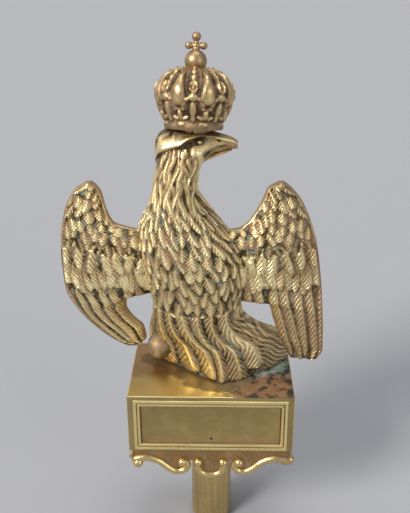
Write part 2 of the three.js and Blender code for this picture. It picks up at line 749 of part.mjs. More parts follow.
const finial = new THREE.Group();
finial.add(makeSocket(), makeApron(), makePlinth(), makeEagle(), makeCrown());

export default finial;
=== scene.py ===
"""Crowned eagle finial in aged brass: the eagle, its crown, the framed plinth, the scroll apron and the socket.

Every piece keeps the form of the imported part's node of the same name and adds the finer relief: feathers
with quills and barbs, the crown's leaves and pearls, rolled rims and worn edges. Shapes are worked out in
millimetres and become meshes in metres, in the part's own frame.
"""

import logging
import math
from dataclasses import dataclass, field
from enum import Enum
from functools import reduce
from typing import Union

import bmesh
import bpy
import numpy as np
from mathutils import Matrix, Vector
from mathutils.kdtree import KDTree


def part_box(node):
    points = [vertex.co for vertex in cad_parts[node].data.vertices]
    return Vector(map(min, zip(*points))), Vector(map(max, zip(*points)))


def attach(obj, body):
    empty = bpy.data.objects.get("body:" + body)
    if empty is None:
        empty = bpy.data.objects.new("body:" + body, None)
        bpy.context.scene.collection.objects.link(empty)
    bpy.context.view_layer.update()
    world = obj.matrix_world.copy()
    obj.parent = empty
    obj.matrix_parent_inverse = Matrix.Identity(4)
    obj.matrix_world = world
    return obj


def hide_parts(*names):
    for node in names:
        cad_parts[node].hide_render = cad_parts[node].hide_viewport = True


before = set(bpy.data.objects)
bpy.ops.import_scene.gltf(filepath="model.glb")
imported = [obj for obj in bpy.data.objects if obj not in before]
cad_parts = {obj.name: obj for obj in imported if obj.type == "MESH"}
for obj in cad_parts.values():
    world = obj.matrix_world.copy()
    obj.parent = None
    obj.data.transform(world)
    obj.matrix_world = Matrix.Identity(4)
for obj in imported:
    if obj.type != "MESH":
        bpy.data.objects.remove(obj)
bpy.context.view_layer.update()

MM = 0.001
log = logging.getLogger("finial")

Array = np.ndarray
Colour = tuple[float, float, float]
Place = tuple[float, float, float]


# Numbers and arrays


def smooth_step(low: float, high: float, value: Array) -> Array:
    """Eases from 0 at low to 1 at high.

    Args:
        low: the value where the result is 0.
        high: the value where the result is 1; it may be below low.
        value: an array of any shape.

    Returns:
        An array of the same shape, from 0 to 1.
    """
    share = np.clip((value - low) / (high - low), 0.0, 1.0)
    return share * share * (3.0 - 2.0 * share)


def mix(low: Array, high: Array, share: Array) -> Array:
    """Returns the value between low and high at a share of the way."""
    return low + (high - low) * share


def soft_ridge(value: Array, middle: float, width: float) -> Array:
    """Returns a soft ridge that is 1 in its middle and falls off to both sides."""
    return np.exp(-(((value - middle) / width) ** 2))


def scatter(*keys: Array) -> Array:
    """Returns a fixed number from 0 to 1 for each set of whole keys."""
    total = sum(np.asarray(key, float) * weight for key, weight in zip(keys, (12.9898, 78.233, 37.719)))
    value = np.sin(total) * 43758.5453
    return value - np.floor(value)


def eased(rows: Array, at: Array) -> Array:
    """Reads a table of sections at any place, without overshoot between its rows.

    Args:
        rows: a table whose first column is the place, rising from row to row.
        at: the places to read.

    Returns:
        One row of the table's other columns for each place.
    """
    place, value = rows[:, 0], rows[:, 1:]
    step = np.diff(place)[:, None]
    slope = np.diff(value, axis=0) / step
    tangent = np.zeros_like(value)
    tangent[0], tangent[-1] = slope[0], slope[-1]
    product = slope[:-1] * slope[1:]
    total = np.where(np.abs(slope[:-1] + slope[1:]) < 1e-9, 1.0, slope[:-1] + slope[1:])
    tangent[1:-1] = np.where(product > 0, 2.0 * product / total, 0.0)
    index = np.clip(np.searchsorted(place, at, side="right") - 1, 0, len(place) - 2)
    width = step[index]
    t = ((at - place[index])[:, None]) / width
    return (
        (1 + 2 * t) * (1 - t) ** 2 * value[index]
        + t * (1 - t) ** 2 * width * tangent[index]
        + t**2 * (3 - 2 * t) * value[index + 1]
        + t**2 * (t - 1) * width * tangent[index + 1]
    )


def blurred(values: Array, reach: int, wraps: bool) -> Array:
    """Averages a grid over a square of cells.

    Args:
        values: rows by columns.
        reach: cells to each side.
        wraps: whether the last column meets the first.

    Returns:
        The averaged grid.
    """
    across = np.pad(values, ((0, 0), (reach, reach)), mode="wrap" if wraps else "edge")
    sums = np.cumsum(np.pad(across, ((0, 0), (1, 0))), axis=1)
    across = (sums[:, 2 * reach + 1 :] - sums[:, : -2 * reach - 1]) / (2 * reach + 1)
    down = np.pad(across, ((reach, reach), (0, 0)), mode="edge")
    sums = np.cumsum(np.pad(down, ((1, 0), (0, 0))), axis=0)
    return (sums[2 * reach + 1 :, :] - sums[: -2 * reach - 1, :]) / (2 * reach + 1)


def relief_share(height: Array, wraps: bool) -> Array:
    """Says how far each point of a grid stands over its surroundings, from 0 in a hollow to 1 on a crest."""
    rise = 0.35 * (height - blurred(height, 3, wraps)) + 0.65 * (height - blurred(height, 9, wraps))
    return np.clip(0.5 + rise / 1.6, 0.0, 1.0)


# Meshes


@dataclass
class Shell:
    """A closed grid of points, row by row, that becomes a mesh.

    Attributes:
        points: rows by columns by 3, in millimetres.
        marks: named grids of one number for each point, for the finishes.
    """

    points: Array
    marks: dict[str, Array] = field(default_factory=dict)

    def faces(self) -> list[tuple[int, ...]]:
        """Returns quads round the rows and a fan at each end."""
        rows, columns = self.points.shape[:2]
        first = np.arange(rows - 1)[:, None] * columns
        here = np.arange(columns)[None, :]
        after = (here + 1) % columns
        near = [first + here, first + after]
        quads = np.stack([*near, near[1] + columns, near[0] + columns], axis=-1)
        last = (rows - 1) * columns
        faces = [tuple(quad) for quad in quads.reshape(-1, 4).tolist()]
        centre, far = rows * columns, rows * columns + 1
        for j in range(columns):
            k = (j + 1) % columns
            faces.append((centre, k, j))
            faces.append((far, last + j, last + k))
        return faces

    def vertices(self) -> Array:
        """Returns all points in millimetres, with the middle of each end last."""
        ends = np.stack([self.points[0].mean(axis=0), self.points[-1].mean(axis=0)])
        return np.concatenate([self.points.reshape(-1, 3), ends])

    def mark_values(self, name: str, default: float) -> Array:
        """Returns one mark for every vertex, the default where the shell has no such mark."""
        grid = self.marks.get(name)
        if grid is None:
            return np.full(self.points.shape[0] * self.points.shape[1] + 2, default)
        return np.concatenate([grid.reshape(-1), [grid[0].mean(), grid[-1].mean()]])

    def build(self, name: str) -> bpy.types.Object:
        """Makes the mesh object, in metres, with its faces turned outwards."""
        mesh = bpy.data.meshes.new(name)
        vertices = self.vertices() * MM
        mesh.from_pydata(vertices.tolist(), [], self.faces())
        mesh.update()
        if signed_volume(mesh) < 0:
            mesh.flip_normals()
        return show(name, mesh)


def show(name: str, data: bpy.types.ID) -> bpy.types.Object:
    """Makes an object of a mesh, a camera or a light, and puts it into the scene."""
    piece = bpy.data.objects.new(name, data)
    bpy.context.scene.collection.objects.link(piece)
    return piece


def store(mesh: bpy.types.Mesh, name: str, values: Array) -> None:
    """Stores a number for each of a mesh's points under a name."""
    attribute = mesh.attributes.new(name, "FLOAT", "POINT")
    attribute.data.foreach_set("value", values.astype(np.float32))


def take_result(piece: bpy.types.Object, modifier: bpy.types.Modifier) -> None:
    """Replaces a piece's mesh with what its modifier makes of it, and removes the modifier."""
    graph = bpy.context.evaluated_depsgraph_get()
    result = bpy.data.meshes.new_from_object(piece.evaluated_get(graph))
    piece.modifiers.remove(modifier)
    old = piece.data
    piece.data = result
    bpy.data.meshes.remove(old)


def mesh_from(name: str, points: list, faces: list, merge: float = 0.0) -> bpy.types.Object:
    """Makes a mesh object from points in millimetres.

    Args:
        name: the object's name.
        points: its points.
        faces: its faces.
        merge: points closer than this become one.

    Returns:
        The object, in metres, with its faces turned outwards.
    """
    mesh = bpy.data.meshes.new(name)
    mesh.from_pydata([tuple(v * MM for v in point) for point in points], [], faces)
    shape = bmesh.new()
    shape.from_mesh(mesh)
    if merge:
        bmesh.ops.remove_doubles(shape, verts=shape.verts, dist=merge * MM)
    bmesh.ops.recalc_face_normals(shape, faces=shape.faces)
    shape.to_mesh(mesh)
    shape.free()
    return show(name, mesh)


def box_object(name: str, low: Place, high: Place) -> bpy.types.Object:
    """Makes a plain closed box between two corners, in millimetres."""
    corners = [(x, y, z) for z in (low[2], high[2]) for y in (low[1], high[1]) for x in (low[0], high[0])]
    faces = [(0, 2, 3, 1), (4, 5, 7, 6), (0, 1, 5, 4), (2, 6, 7, 3), (0, 4, 6, 2), (1, 3, 7, 5)]
    return mesh_from(name, corners, faces)


def signed_volume(mesh: bpy.types.Mesh) -> float:
    """Returns a closed mesh's volume, below 0 where its faces point inwards."""
    mesh.calc_loop_triangles()
    corners = np.empty(len(mesh.loop_triangles) * 3, np.int32)
    mesh.loop_triangles.foreach_get("vertices", corners)
    places = np.empty(len(mesh.vertices) * 3)
    mesh.vertices.foreach_get("co", places)
    a, b, c = places.reshape(-1, 3)[corners.reshape(-1, 3)].transpose(1, 0, 2)
    return float(np.einsum("ij,ij->i", a, np.cross(b, c)).sum() / 6)


class Cut(Enum):
    """How one mesh is joined with another."""

    UNION = "UNION"
    DIFFERENCE = "DIFFERENCE"


def combine(base: bpy.types.Object, others: list[bpy.types.Object], cut: Cut) -> None:
    """Joins closed meshes with the base, or cuts them out of it, and removes them.

    Args:
        base: the mesh that is changed.
        others: the meshes that are used up.
        cut: union or difference.
    """
    for other in others:
        modifier = base.modifiers.new("cut", "BOOLEAN")
        modifier.operation = cut.value
        modifier.object = other
        modifier.solver = "MANIFOLD"
        take_result(base, modifier)
        bpy.data.objects.remove(other)


# The marks of cast metal, with what they are where a shell has none.
MARKS: dict[str, float] = {"relief": 0.6, "barb": 0.0, "phase": 0.0, "tone": 0.5, "smooth": 0.0}


def carry_marks(piece: bpy.types.Object, shells: list[Shell]) -> None:
    """Gives a joined mesh the marks of the nearest points of the shells it was made from.

    Args:
        piece: the joined mesh.
        shells: the grids that it was made from.
    """
    vertices = np.concatenate([shell.vertices() for shell in shells])
    values = {
        name: np.concatenate([shell.mark_values(name, default) for shell in shells])
        for name, default in MARKS.items()
    }
    tree = KDTree(len(vertices))
    for i, place in enumerate(vertices.tolist()):
        tree.insert(place, i)
    tree.balance()
    mesh = piece.data
    nearest = [tree.find(vertex.co / MM)[1] for vertex in mesh.vertices]
    for name, value in values.items():
        store(mesh, name, value[nearest])


# Feathers


@dataclass(frozen=True)
class Plumage:
    """A field of feathers in rows, each a leaf that rises from its root to a tip over the row below.

    Attributes:
        reach: length of a feather, in rows.
        half: half width at its widest, in feathers.
        widest: share of its length where it is widest.
        blunt: shape of its tip, from 1 for a straight point to large numbers for a broad end.
        lift: rise at the tip, in millimetres.
        camber: rise of its middle over its edges.
        quill: height of the quill.
        quill_aside: place of the quill, as a share of the half width.
        barb: depth of the barbs' grooves.
        barb_pitch: distance from barb to barb.
        slant: how far a barb runs towards the tip for each millimetre from the quill.
        sway: sideways wave of the feather's line, in feathers.
        unruly: how much feathers differ from each other, from 0 to 1.
        seed: picks another set of differences.
    """

    reach: float = 1.8
    half: float = 0.62
    widest: float = 0.48
    blunt: float = 1.5
    lift: float = 1.6
    camber: float = 1.3
    quill: float = 0.35
    quill_aside: float = 0.0
    barb: float = 0.6
    barb_pitch: float = 2.8
    slant: float = 1.1
    sway: float = 0.1
    unruly: float = 0.95
    seed: int = 1

    def lay(
        self, across: Array, down: Array, width: Array, travel: Array, around: int = 0, last: float = math.inf
    ) -> dict[str, Array]:
        """Lays the feathers over a grid.

        Args:
            across: place across the field, in feathers.
            down: place down the field, in rows; a row's tips lie at whole numbers.
            width: a feather's width in millimetres.
            travel: distance down the field in millimetres.
            around: number of feathers after which a field that closes on itself repeats, or 0.
            last: the lowest row.

        Returns:
            Grids of height, barb (where the barbs' grooves show), phase (their place) and tone (a number for
            each feather).
        """
        best = {"height": 0 * across, "barb": 0 * across, "phase": 0 * across, "tone": 0.5 + 0 * across}
        rows_near = range(-1, math.ceil(self.reach) + 1)
        for row_step in rows_near:
            row = np.ceil(down) + row_step
            offset = 0.5 * np.mod(row, 2)
            for column_step in (-1, 0, 1):
                column = np.floor(across - offset + 0.5) + column_step
                key = np.mod(column, around) if around else column
                feather = self.one(across - offset - column, down - row, width, travel, (key, row))
                above = (feather["height"] > best["height"]) & (row <= last)
                for name, grid in best.items():
                    best[name] = np.where(above, feather[name], grid)
        return best

    def one(
        self, aside: Array, past: Array, width: Array, travel: Array, keys: tuple[Array, Array]
    ) -> dict[str, Array]:
        """Shapes the one feather that each point is compared with.

        Args:
            aside: distance from the feather's own column, in feathers.
            past: distance past the feather's tip, in rows, below 0 before it.
            width: a feather's width in millimetres.
            travel: distance down the field in millimetres.
            keys: the feather's column and row, which decide how it differs.

        Returns:
            The same grids as lay, with a height of -1 outside the feather.
        """
        seeds = [np.full_like(past, self.seed + k) for k in range(5)]
        chance = [scatter(keys[0] + 3.7 * k, keys[1], seed) - 0.5 for k, seed in enumerate(seeds)]
        length = self.reach * (1 + 0.3 * self.unruly * chance[0])
        along = 1 + (past - 0.5 * self.unruly * chance[1]) / length
        bend = self.unruly * (0.34 * chance[2] + 0.8 * chance[3] * (along - 0.5))
        wave = self.sway * np.sin(2.4 * past + 6.3 * chance[3])
        side = (aside - bend - wave) * width
        rooted = 0.35 + 0.65 * np.sin(0.5 * math.pi * np.clip(along / self.widest, 0, 1))
        ended = np.clip((along - self.widest) / (1 - self.widest), 0, 1)
        leaf = rooted * (1 - ended**self.blunt) ** (1 / max(self.blunt, 1.0))
        half = np.maximum(self.half * width * (1 + 0.25 * self.unruly * chance[4]) * leaf, 0.05)
        share = np.abs(side) / half
        arch = np.sqrt(np.clip(1 - share**2, 0, 1))
        from_quill = side - self.quill_aside * half
        phase = (travel - self.slant * np.abs(from_quill)) / self.barb_pitch + chance[0]
        shown = smooth_step(0.06, 0.3, np.abs(from_quill) / half) * smooth_step(1.0, 0.86, share)
        groove = (0.5 + 0.5 * np.cos(2 * math.pi * phase)) * shown
        line = np.exp(-((from_quill / 0.6) ** 2)) * smooth_step(1.0, 0.9, along)
        height = (
            self.lift * np.clip(along, 0, 1) ** 1.3 * (0.45 + 0.55 * arch)
            + self.camber * arch * smooth_step(0.0, 0.3, along)
            + self.quill * line
            - self.barb * groove
        )
        inside = (along > 0) & (along < 1) & (share < 1)
        return {
            "height": np.where(inside, height, -1.0),
            "barb": shown,
            "phase": phase,
            "tone": chance[4] + 0.5,
        }


def blend_plumes(first: dict[str, Array], second: dict[str, Array], share: Array) -> dict[str, Array]:
    """Passes from one field of feathers to another where share runs from 0 to 1."""
    return {name: mix(first[name], second[name], share) for name in first}


# Eagle


BODY_ROWS = np.array(
    [
        # height, left, right, back of the bird, breast, depth of the widest place, squareness
        [0, -44.5, 87, -24, 33, 29, 1.25],
        [10, -44.5, 85, -23, 32, 27, 1.3],
        [20, -44.5, 81.5, -22, 31, 24, 1.35],
        [30, -44, 74.5, -22, 30, 22, 1.4],
        [38, -42.5, 58, -22, 30, 19, 1.5],
        [44, -41, 49.5, -22.5, 30, 17, 1.6],
        [50, -39.5, 43.5, -23, 31, 14, 1.7],
        [58, -38.5, 39.5, -24, 33, 11, 1.8],
        [68, -38, 38.5, -25, 36, 9, 1.9],
        [82, -40, 41, -26.5, 41, 8, 2],
        [100, -44, 42, -27.5, 45, 8, 2],
        [118, -48, 38, -26.5, 46, 8, 2],
        [134, -48, 26, -23.5, 43, 8, 2],
        [146, -44, 16.5, -20.5, 39, 8, 2],
        [158, -38.5, 4.5, -17.5, 34, 8, 2],
        [170, -34.5, 0.8, -14.5, 31, 8, 2],
        [182, -32.5, 1, -12.5, 30, 9, 2],
        [194, -31, 5, -10, 29, 10, 2],
        [206, -30, 2, -6, 26, 11, 2],
    ],
    float,
)

# Outer x and z, inner x and z, outer and inner y, from the raised wrist down to the tip.
LEFT_WING_ROWS = np.array(
    [
        [-91.5, 175.4, -86.5, 175.8, 9, 9],
        [-102, 168, -80, 168.5, 9, 8],
        [-111, 150.5, -75, 150, 9, 7],
        [-115.5, 128, -70, 140.4, 8, 6],
        [-116.6, 108.6, -36, 129, 7, 5],
        [-116, 92, -30, 118, 6, 4],
        [-114, 76, -36, 77, 5, 3],
        [-107.5, 62.5, -49, 75.5, 5, 3],
        [-98.5, 50, -61, 71, 5, 5],
        [-87.5, 38, -62.5, 60.5, 6, 7],
        [-74.5, 26.5, -57, 48.5, 8, 9],
        [-61, 19.5, -48.5, 38, 9, 11],
        [-53, 20, -46, 27, 9, 11],
    ],
    float,
)
RIGHT_WING_ROWS = np.array(
    [
        [73, 176.4, 69, 176, 9, 9],
        [79.4, 171, 60.5, 171, 9, 8],
        [89, 159.1, 55, 158.6, 9, 7],
        [96.8, 142.5, 48.5, 147.5, 8, 6],
        [102.4, 124.7, 37, 136, 7, 5],
        [105.8, 105.6, 8, 131.5, 6, 4],
        [108.7, 84.1, 22, 78, 5, 3],
        [110.1, 70, 42, 69.5, 4, 2],
        [111, 57.6, 62, 68.3, 3, 2],
        [112.2, 40.1, 67.5, 53, 2, 2],
        [112.7, 22.2, 75, 31, 1, 2],
        [107.9, 11.4, 84.5, 12.4, 1, 2],
    ],
    float,
)

# Place along the head, half width, top, brow ridge, hollow under the ridge, cheek and underside.
HEAD_ROWS = np.array(
    [
        [-32.6, 8.5, 211, 197, 2.5, 187, 176],
        [-29.5, 13, 215.5, 203.8, 3, 192, 174],
        [-23, 16, 218.5, 206.8, 4, 194, 173],
        [-12.5, 17.5, 219.5, 210.4, 4.5, 197, 174],
        [-4.5, 16.8, 219.3, 215.4, 4.5, 198.5, 179],
        [4.5, 14, 218.6, 217.2, 3.5, 201, 188.5],
        [12, 9.8, 217.2, 216, 1.5, 204, 197.5],
        [18, 7.8, 216, 213.8, 0.6, 206.5, 202],
        [25, 6.6, 214.2, 211.5, 0.2, 207.5, 203.4],
        [31, 5.2, 212, 210, 0, 206.6, 202.8],
        [34.6, 3.4, 209.4, 207.8, 0, 205.4, 203.2],
    ],
    float,
)

# Place along the lower mandible, half width, top and underside.
JAW_ROWS = np.array(
    [
        [-2, 8, 196, 184],
        [8, 6, 197.5, 192.6],
        [15, 4.4, 199, 195.6],
        [22, 3.4, 201.2, 198.4],
        [30, 1.8, 203, 201.4],
    ],
    float,
)


# The crown's foot from the body's middle along x, and its height over the plinth.
CROWN_SHIFT = -1.5
CROWN_LEVEL = 218.6

# Long locks on the near side of the neck, as x and height.
NECK_LOCKS = (
    [(-12.3, 186.0), (-5.6, 176.9), (1.1, 167.7), (9.9, 156.4), (15.8, 151.1)],
    [(-10.1, 197.0), (-8.3, 192.0), (-5.5, 186.0), (-3.2, 180.0)],
    [(-6.2, 203.0), (-10.6, 197.0), (-9.8, 190.0), (-13.3, 181.0), (-14.5, 168.7), (-14.2, 158.4)],
    [(-19.9, 194.0), (-20.5, 183.0), (-24.2, 172.8), (-31.3, 162.4)],
    [(-26.0, 200.0), (-26.8, 192.9), (-28.5, 186.0), (-29.2, 179.0)],
    [(-23.2, 192.0), (-26.7, 185.0), (-28.9, 176.8), (-32.2, 164.5)],
    [(-14.8, 202.0), (-17.9, 195.0), (-21.4, 187.0), (-23.6, 176.9)],
    [(-2.5, 201.0), (-5.4, 197.0), (-3.5, 190.0), (-4.7, 183.0)],
    [(-19.6, 181.9), (-18.2, 176.9), (-16.4, 170.8), (-17.6, 158.4)],
    [(-8.5, 178.0), (-6.0, 170.0), (-5.0, 162.0), (-1.0, 152.0)],
)


def egg(size: Place, place: Place, smooth: float = 1.0, relief: float = 0.6) -> Shell:
    """Makes a closed egg shape standing on its height.

    Args:
        size: half sizes in x, y and z.
        place: its middle.
        smooth: the mark for smooth metal without feathers.
        relief: the mark for how far it stands out of its surroundings.

    Returns:
        The shell.
    """
    rows, columns = 18, 28
    polar = np.linspace(0.06, math.pi - 0.06, rows)[:, None]
    turn = np.linspace(0, 2 * math.pi, columns, endpoint=False)[None, :]
    unit = np.stack([np.sin(polar) * np.cos(turn), np.sin(polar) * np.sin(turn), np.cos(polar) + 0 * turn], -1)
    points = unit * np.array(size) + np.array(place)
    marks = {"smooth": smooth, "relief": relief}
    return Shell(points, {name: np.full((rows, columns), value) for name, value in marks.items()})


def rod(line: Array, radii: Array, sides: int = 10, smooth: float = 1.0) -> Shell:
    """Makes a closed rod along a line of points.

    Args:
        line: points along the middle.
        radii: the radius at each point.
        sides: faces round the rod.
        smooth: the mark for smooth metal without feathers.

    Returns:
        The shell.
    """
    ahead = np.gradient(line, axis=0)
    ahead /= np.linalg.norm(ahead, axis=1)[:, None]
    up = np.array([0.0, 0.0, 1.0]) if abs(ahead[0, 2]) < 0.9 else np.array([1.0, 0.0, 0.0])
    aside = np.empty_like(line)
    for i, direction in enumerate(ahead):
        across = np.cross(direction, up)
        across /= np.linalg.norm(across)
        aside[i] = across
        up = np.cross(across, direction)
    other = np.cross(ahead, aside)
    turn = np.linspace(0, 2 * math.pi, sides, endpoint=False)
    ring = np.cos(turn)[None, :, None] * aside[:, None] + np.sin(turn)[None, :, None] * other[:, None]
    points = line[:, None] + ring * radii[:, None, None]
    return Shell(points, {"smooth": np.full(points.shape[:2], smooth)})


def curve_through(points: list[tuple[float, ...]], count: int) -> Array:
    """Returns evenly shared points on a smooth curve through a few given ones."""
    given = np.array(points, float)
    held = np.concatenate([[2 * given[0] - given[1]], given, [2 * given[-1] - given[-2]]])
    at = np.linspace(0, len(given) - 1, count)
    index = np.minimum(at.astype(int), len(given) - 2)
    t = (at - index)[:, None]
    a, b, c, d = (held[index + k] for k in range(4))
    return b + 0.5 * t * (c - a + t * (2 * a - 5 * b + 4 * c - d + t * (3 * (b - c) + d - a)))


@dataclass
class Eagle:
    """The eagle, seen from its back, with raised wings, a head in profile and a long tail on the plinth.

    Attributes:
        crown_place: where the crown stands.
        base: level of its foot in the part's frame, in millimetres.
        grain: distance between mesh points on the feathered back.
        back_width: length round the back that the mesh points share out.
        breast_width: the same for the breast side, with wider steps.
        wing_length: the same along a wing.
        wing_breadth: the same across a wing's back; its other side has fixed steps.
        shift: the body's middle along x.
        feathers_round: feathers in a row round the body.
        neck_round: locks in a row round the neck.
        tail_round: long feathers round the tail.
        sunk: how far the plain form lies under the feathers' mean height.
        head_sunk: how much further it lies inside the head.
        neck_blend: heights between which the neck's locks turn into the body's feathers.
        tail_blend: heights between which the tail's feathers begin under the body's.
        tail_start: heights below which only the tail's feathers are left.
        head_blend: heights between which the neck sinks into the head.
        swelling: half sizes of the round swelling at the tail's left foot.
        swelling_place: its middle.
        leg_places: the legs' places along x.
        plumage_foot: height of the last row's tips.
        body_row: distance between rows on the body.
        neck_row: distance between rows on the neck.
        tufts_end: height where a wing's tufts end.
        coverts_end: height where its coverts end.
        tuft_row: distance between rows of tufts.
        covert_row: distance between rows of coverts.
        wing_feather: width of a feather on a wing.
        tuft_share: width of a tuft as a share of that.
        primaries: long feathers at a wing's tip.
        wing_thickness: thickness of a wing in its middle.
        wing_bow: how far a wing bows towards its back.
        head_middle: y of the head's middle plane.
        seat_radius: radius of the round seat under the crown.
        seat_depth: how far the seat reaches into the head.
        body_plumage: the body's short feathers.
        neck_plumage: the neck's locks.
        tail_plumage: the tail's long feathers.
        tuft_plumage: the small feathers along a wing's top.
        covert_plumage: the rows over a wing's middle.
        flight_plumage: the long feathers down to a wing's tip.
    """

    crown_place: "CrownPlace"
    base: float
    grain: float = 1.05
    back_width: float = 165.0
    breast_width: float = 95.0 / 1.5
    wing_length: float = 175.0
    wing_breadth: float = 86.0
    shift: float = -13.0
    feathers_round: int = 25
    neck_round: int = 15
    tail_round: int = 18
    plumage_foot: float = 66.0
    sunk: float = 0.9
    head_sunk: float = 4.0
    neck_blend: tuple[float, float] = (160.0, 150.0)
    tail_blend: tuple[float, float] = (70.0, 64.0)
    tail_start: tuple[float, float] = (51.0, 47.0)
    head_blend: tuple[float, float] = (188.0, 206.0)
    swelling: Place = (11.5, 12.0, 12.5)
    swelling_place: Place = (-34.0, 8.5, 19.0)
    leg_places: tuple[float, float] = (-24.0, 14.0)
    body_row: float = 10.5
    neck_row: float = 15.0
    tufts_end: float = 119.0
    coverts_end: float = 82.0
    tuft_row: float = 9.0
    covert_row: float = 18.5
    wing_feather: float = 11.0
    tuft_share: float = 1 / 1.3
    primaries: float = 4.4
    wing_thickness: float = 9.5
    wing_bow: float = 6.0
    head_middle: float = 12.0
    seat_radius: float = 13.5
    seat_depth: float = 6.0

    body_plumage: Plumage = Plumage()
    neck_plumage: Plumage = Plumage(
        reach=2.0, half=0.5, widest=0.5, blunt=1.4, lift=1.2, camber=1.6, quill=0.4, barb=0.3, barb_pitch=2.8,
        slant=2.0, sway=0.22, unruly=1.1, seed=5,
    )
    tail_plumage: Plumage = Plumage(
        reach=1.7, half=0.57, widest=0.85, blunt=3.0, lift=0.9, camber=1.8, quill=0.9, quill_aside=0.25,
        barb=0.45, barb_pitch=5.2, slant=1.6, unruly=0.45, seed=8,
    )
    tuft_plumage: Plumage = Plumage(
        reach=1.5, half=0.56, widest=0.55, blunt=2.0, lift=1.3, camber=1.0, quill=0.25, barb=0.5,
        barb_pitch=2.8, unruly=1.0, seed=21,
    )
    covert_plumage: Plumage = Plumage(
        reach=1.7, half=0.56, widest=0.62, blunt=2.0, lift=2.2, camber=2.1, quill=0.3, quill_aside=-0.35,
        barb=0.42, barb_pitch=4.4, slant=1.3, unruly=0.9, seed=12,
    )
    flight_plumage: Plumage = Plumage(
        reach=1.6, half=0.54, widest=0.8, blunt=2.4, lift=0.8, camber=2.2, quill=0.45, quill_aside=-0.45,
        barb=0.36, barb_pitch=4.8, slant=1.5, unruly=0.35, seed=17,
    )

    def body_point(self, height: Array, angle: Array, lift: Array) -> Array:
        """Returns points of neck, body and tail.

        Args:
            height: heights over the plinth.
            angle: angles round the body, where the back of the bird is at minus a quarter turn.
            lift: rise over the plain form.

        Returns:
            Points with the shape of the given grids and a last axis of three.
        """
        table = eased(BODY_ROWS, np.clip(height, 0.0, BODY_ROWS[-1, 0]).ravel())
        left, right, back, breast, widest, square = (column.reshape(height.shape) for column in table.T)
        middle = (left + right) / 2
        c, s = np.cos(angle), np.sin(angle)
        reach_x = lift + np.where(c < 0, middle - left, right - middle)
        reach_y = lift + np.where(s < 0, widest - back, breast - widest)
        skew = 0.2 * (2 - square) * np.clip(c * 4, -1, 1)
        power = np.where(s < 0, 2 / (square + skew), 1.0)
        x = middle + np.sign(c) * reach_x * np.abs(c) ** power
        y = widest + np.sign(s) * reach_y * np.abs(s) ** power
        return np.stack([x, y, height], axis=-1)

    def body(self) -> Shell:
        """Builds neck, body and tail with their feathers."""
        top = BODY_ROWS[-1, 0]
        heights = np.linspace(top, 0.0, round(top / self.grain))
        back = np.linspace(-math.pi, 0.0, round(self.back_width / self.grain), endpoint=False)
        breast = np.linspace(0.0, math.pi, round(self.breast_width / self.grain), endpoint=False)
        angle, height = np.meshgrid(np.concatenate([back, breast]), heights)
        plain = self.body_point(height, angle, np.zeros_like(height))
        ring = self.ring_length(plain)
        travel = top - height
        turns = angle / (2 * math.pi)
        around = self.feathers_round
        body = self.body_plumage.lay(
            turns * around, (height - self.plumage_foot) / -self.body_row, ring / around, travel, around, 0
        )
        locks = self.neck_round
        neck = self.neck_plumage.lay(turns * locks, travel / self.neck_row, ring / locks, travel, locks)
        plumes = self.tail_round
        down = np.clip(1 - height / (self.plumage_foot - 2.0), -0.5, 0.999)
        tail = self.tail_plumage.lay(turns * plumes, down, ring / plumes, travel, plumes, 1)
        marks = blend_plumes(neck, body, smooth_step(*self.neck_blend, height))
        in_tail = smooth_step(*self.tail_blend, height) * smooth_step(0.9, 0.5, body["height"])
        in_tail = np.maximum(in_tail, smooth_step(*self.tail_start, height))
        marks = blend_plumes(marks, tail, in_tail)
        self.shape_tail_sides(marks, height, angle, plain)
        marks["relief"] = relief_share(marks["height"], True)
        # Painted shadow: the relief mark falls near the plinth, so a dark line lies along the tail's foot.
        marks["relief"] = marks["relief"] * mix(1.0, smooth_step(0.0, 3.0, height), 0.8)
        plain_breast = 0.55 + 0.45 * smooth_step(0.35, -0.1, np.sin(angle))
        lift = (marks.pop("height") - self.sunk) * plain_breast
        lift = lift - self.head_sunk * smooth_step(*self.head_blend, height)
        return Shell(self.body_point(height, angle, lift), marks)

    def shape_tail_sides(self, marks: dict[str, Array], height: Array, angle: Array, plain: Array) -> None:
        """Smooths the tail's left flank and roughens the fan on its right, in place.

        Args:
            marks: the grids of the feathers.
            height: heights over the plinth.
            angle: angles round the body.
            plain: points of the plain form.
        """
        flank = smooth_step(-0.985, -0.997, np.cos(angle)) * smooth_step(62, 54, height)
        fan = smooth_step(0.66, 0.74, np.cos(angle)) * smooth_step(58, 50, height)
        slope = plain[..., 0] * 0.62 + height * 0.75
        drift = 1.7 * np.sin(0.21 * plain[..., 0] - 0.13 * height)
        streak = np.sin(slope * 1.9 + drift) + 0.6 * np.sin(slope * 3.1 - 1.3 * drift + 0.1 * height)
        marks["height"] = mix(marks["height"], 0.9 + 0.45 * streak, fan)
        marks["height"] = mix(marks["height"], 0.4 + 0 * height, flank)
        marks["barb"] = marks["barb"] * (1 - fan) * (1 - flank)
        marks["smooth"] = flank

    @staticmethod
    def ring_length(points: Array) -> Array:
        """Returns the length round each row of a closed grid, for every point."""
        steps = np.linalg.norm(np.roll(points, -1, axis=1) - points, axis=2)
        return np.repeat(steps.sum(axis=1)[:, None], points.shape[1], axis=1)

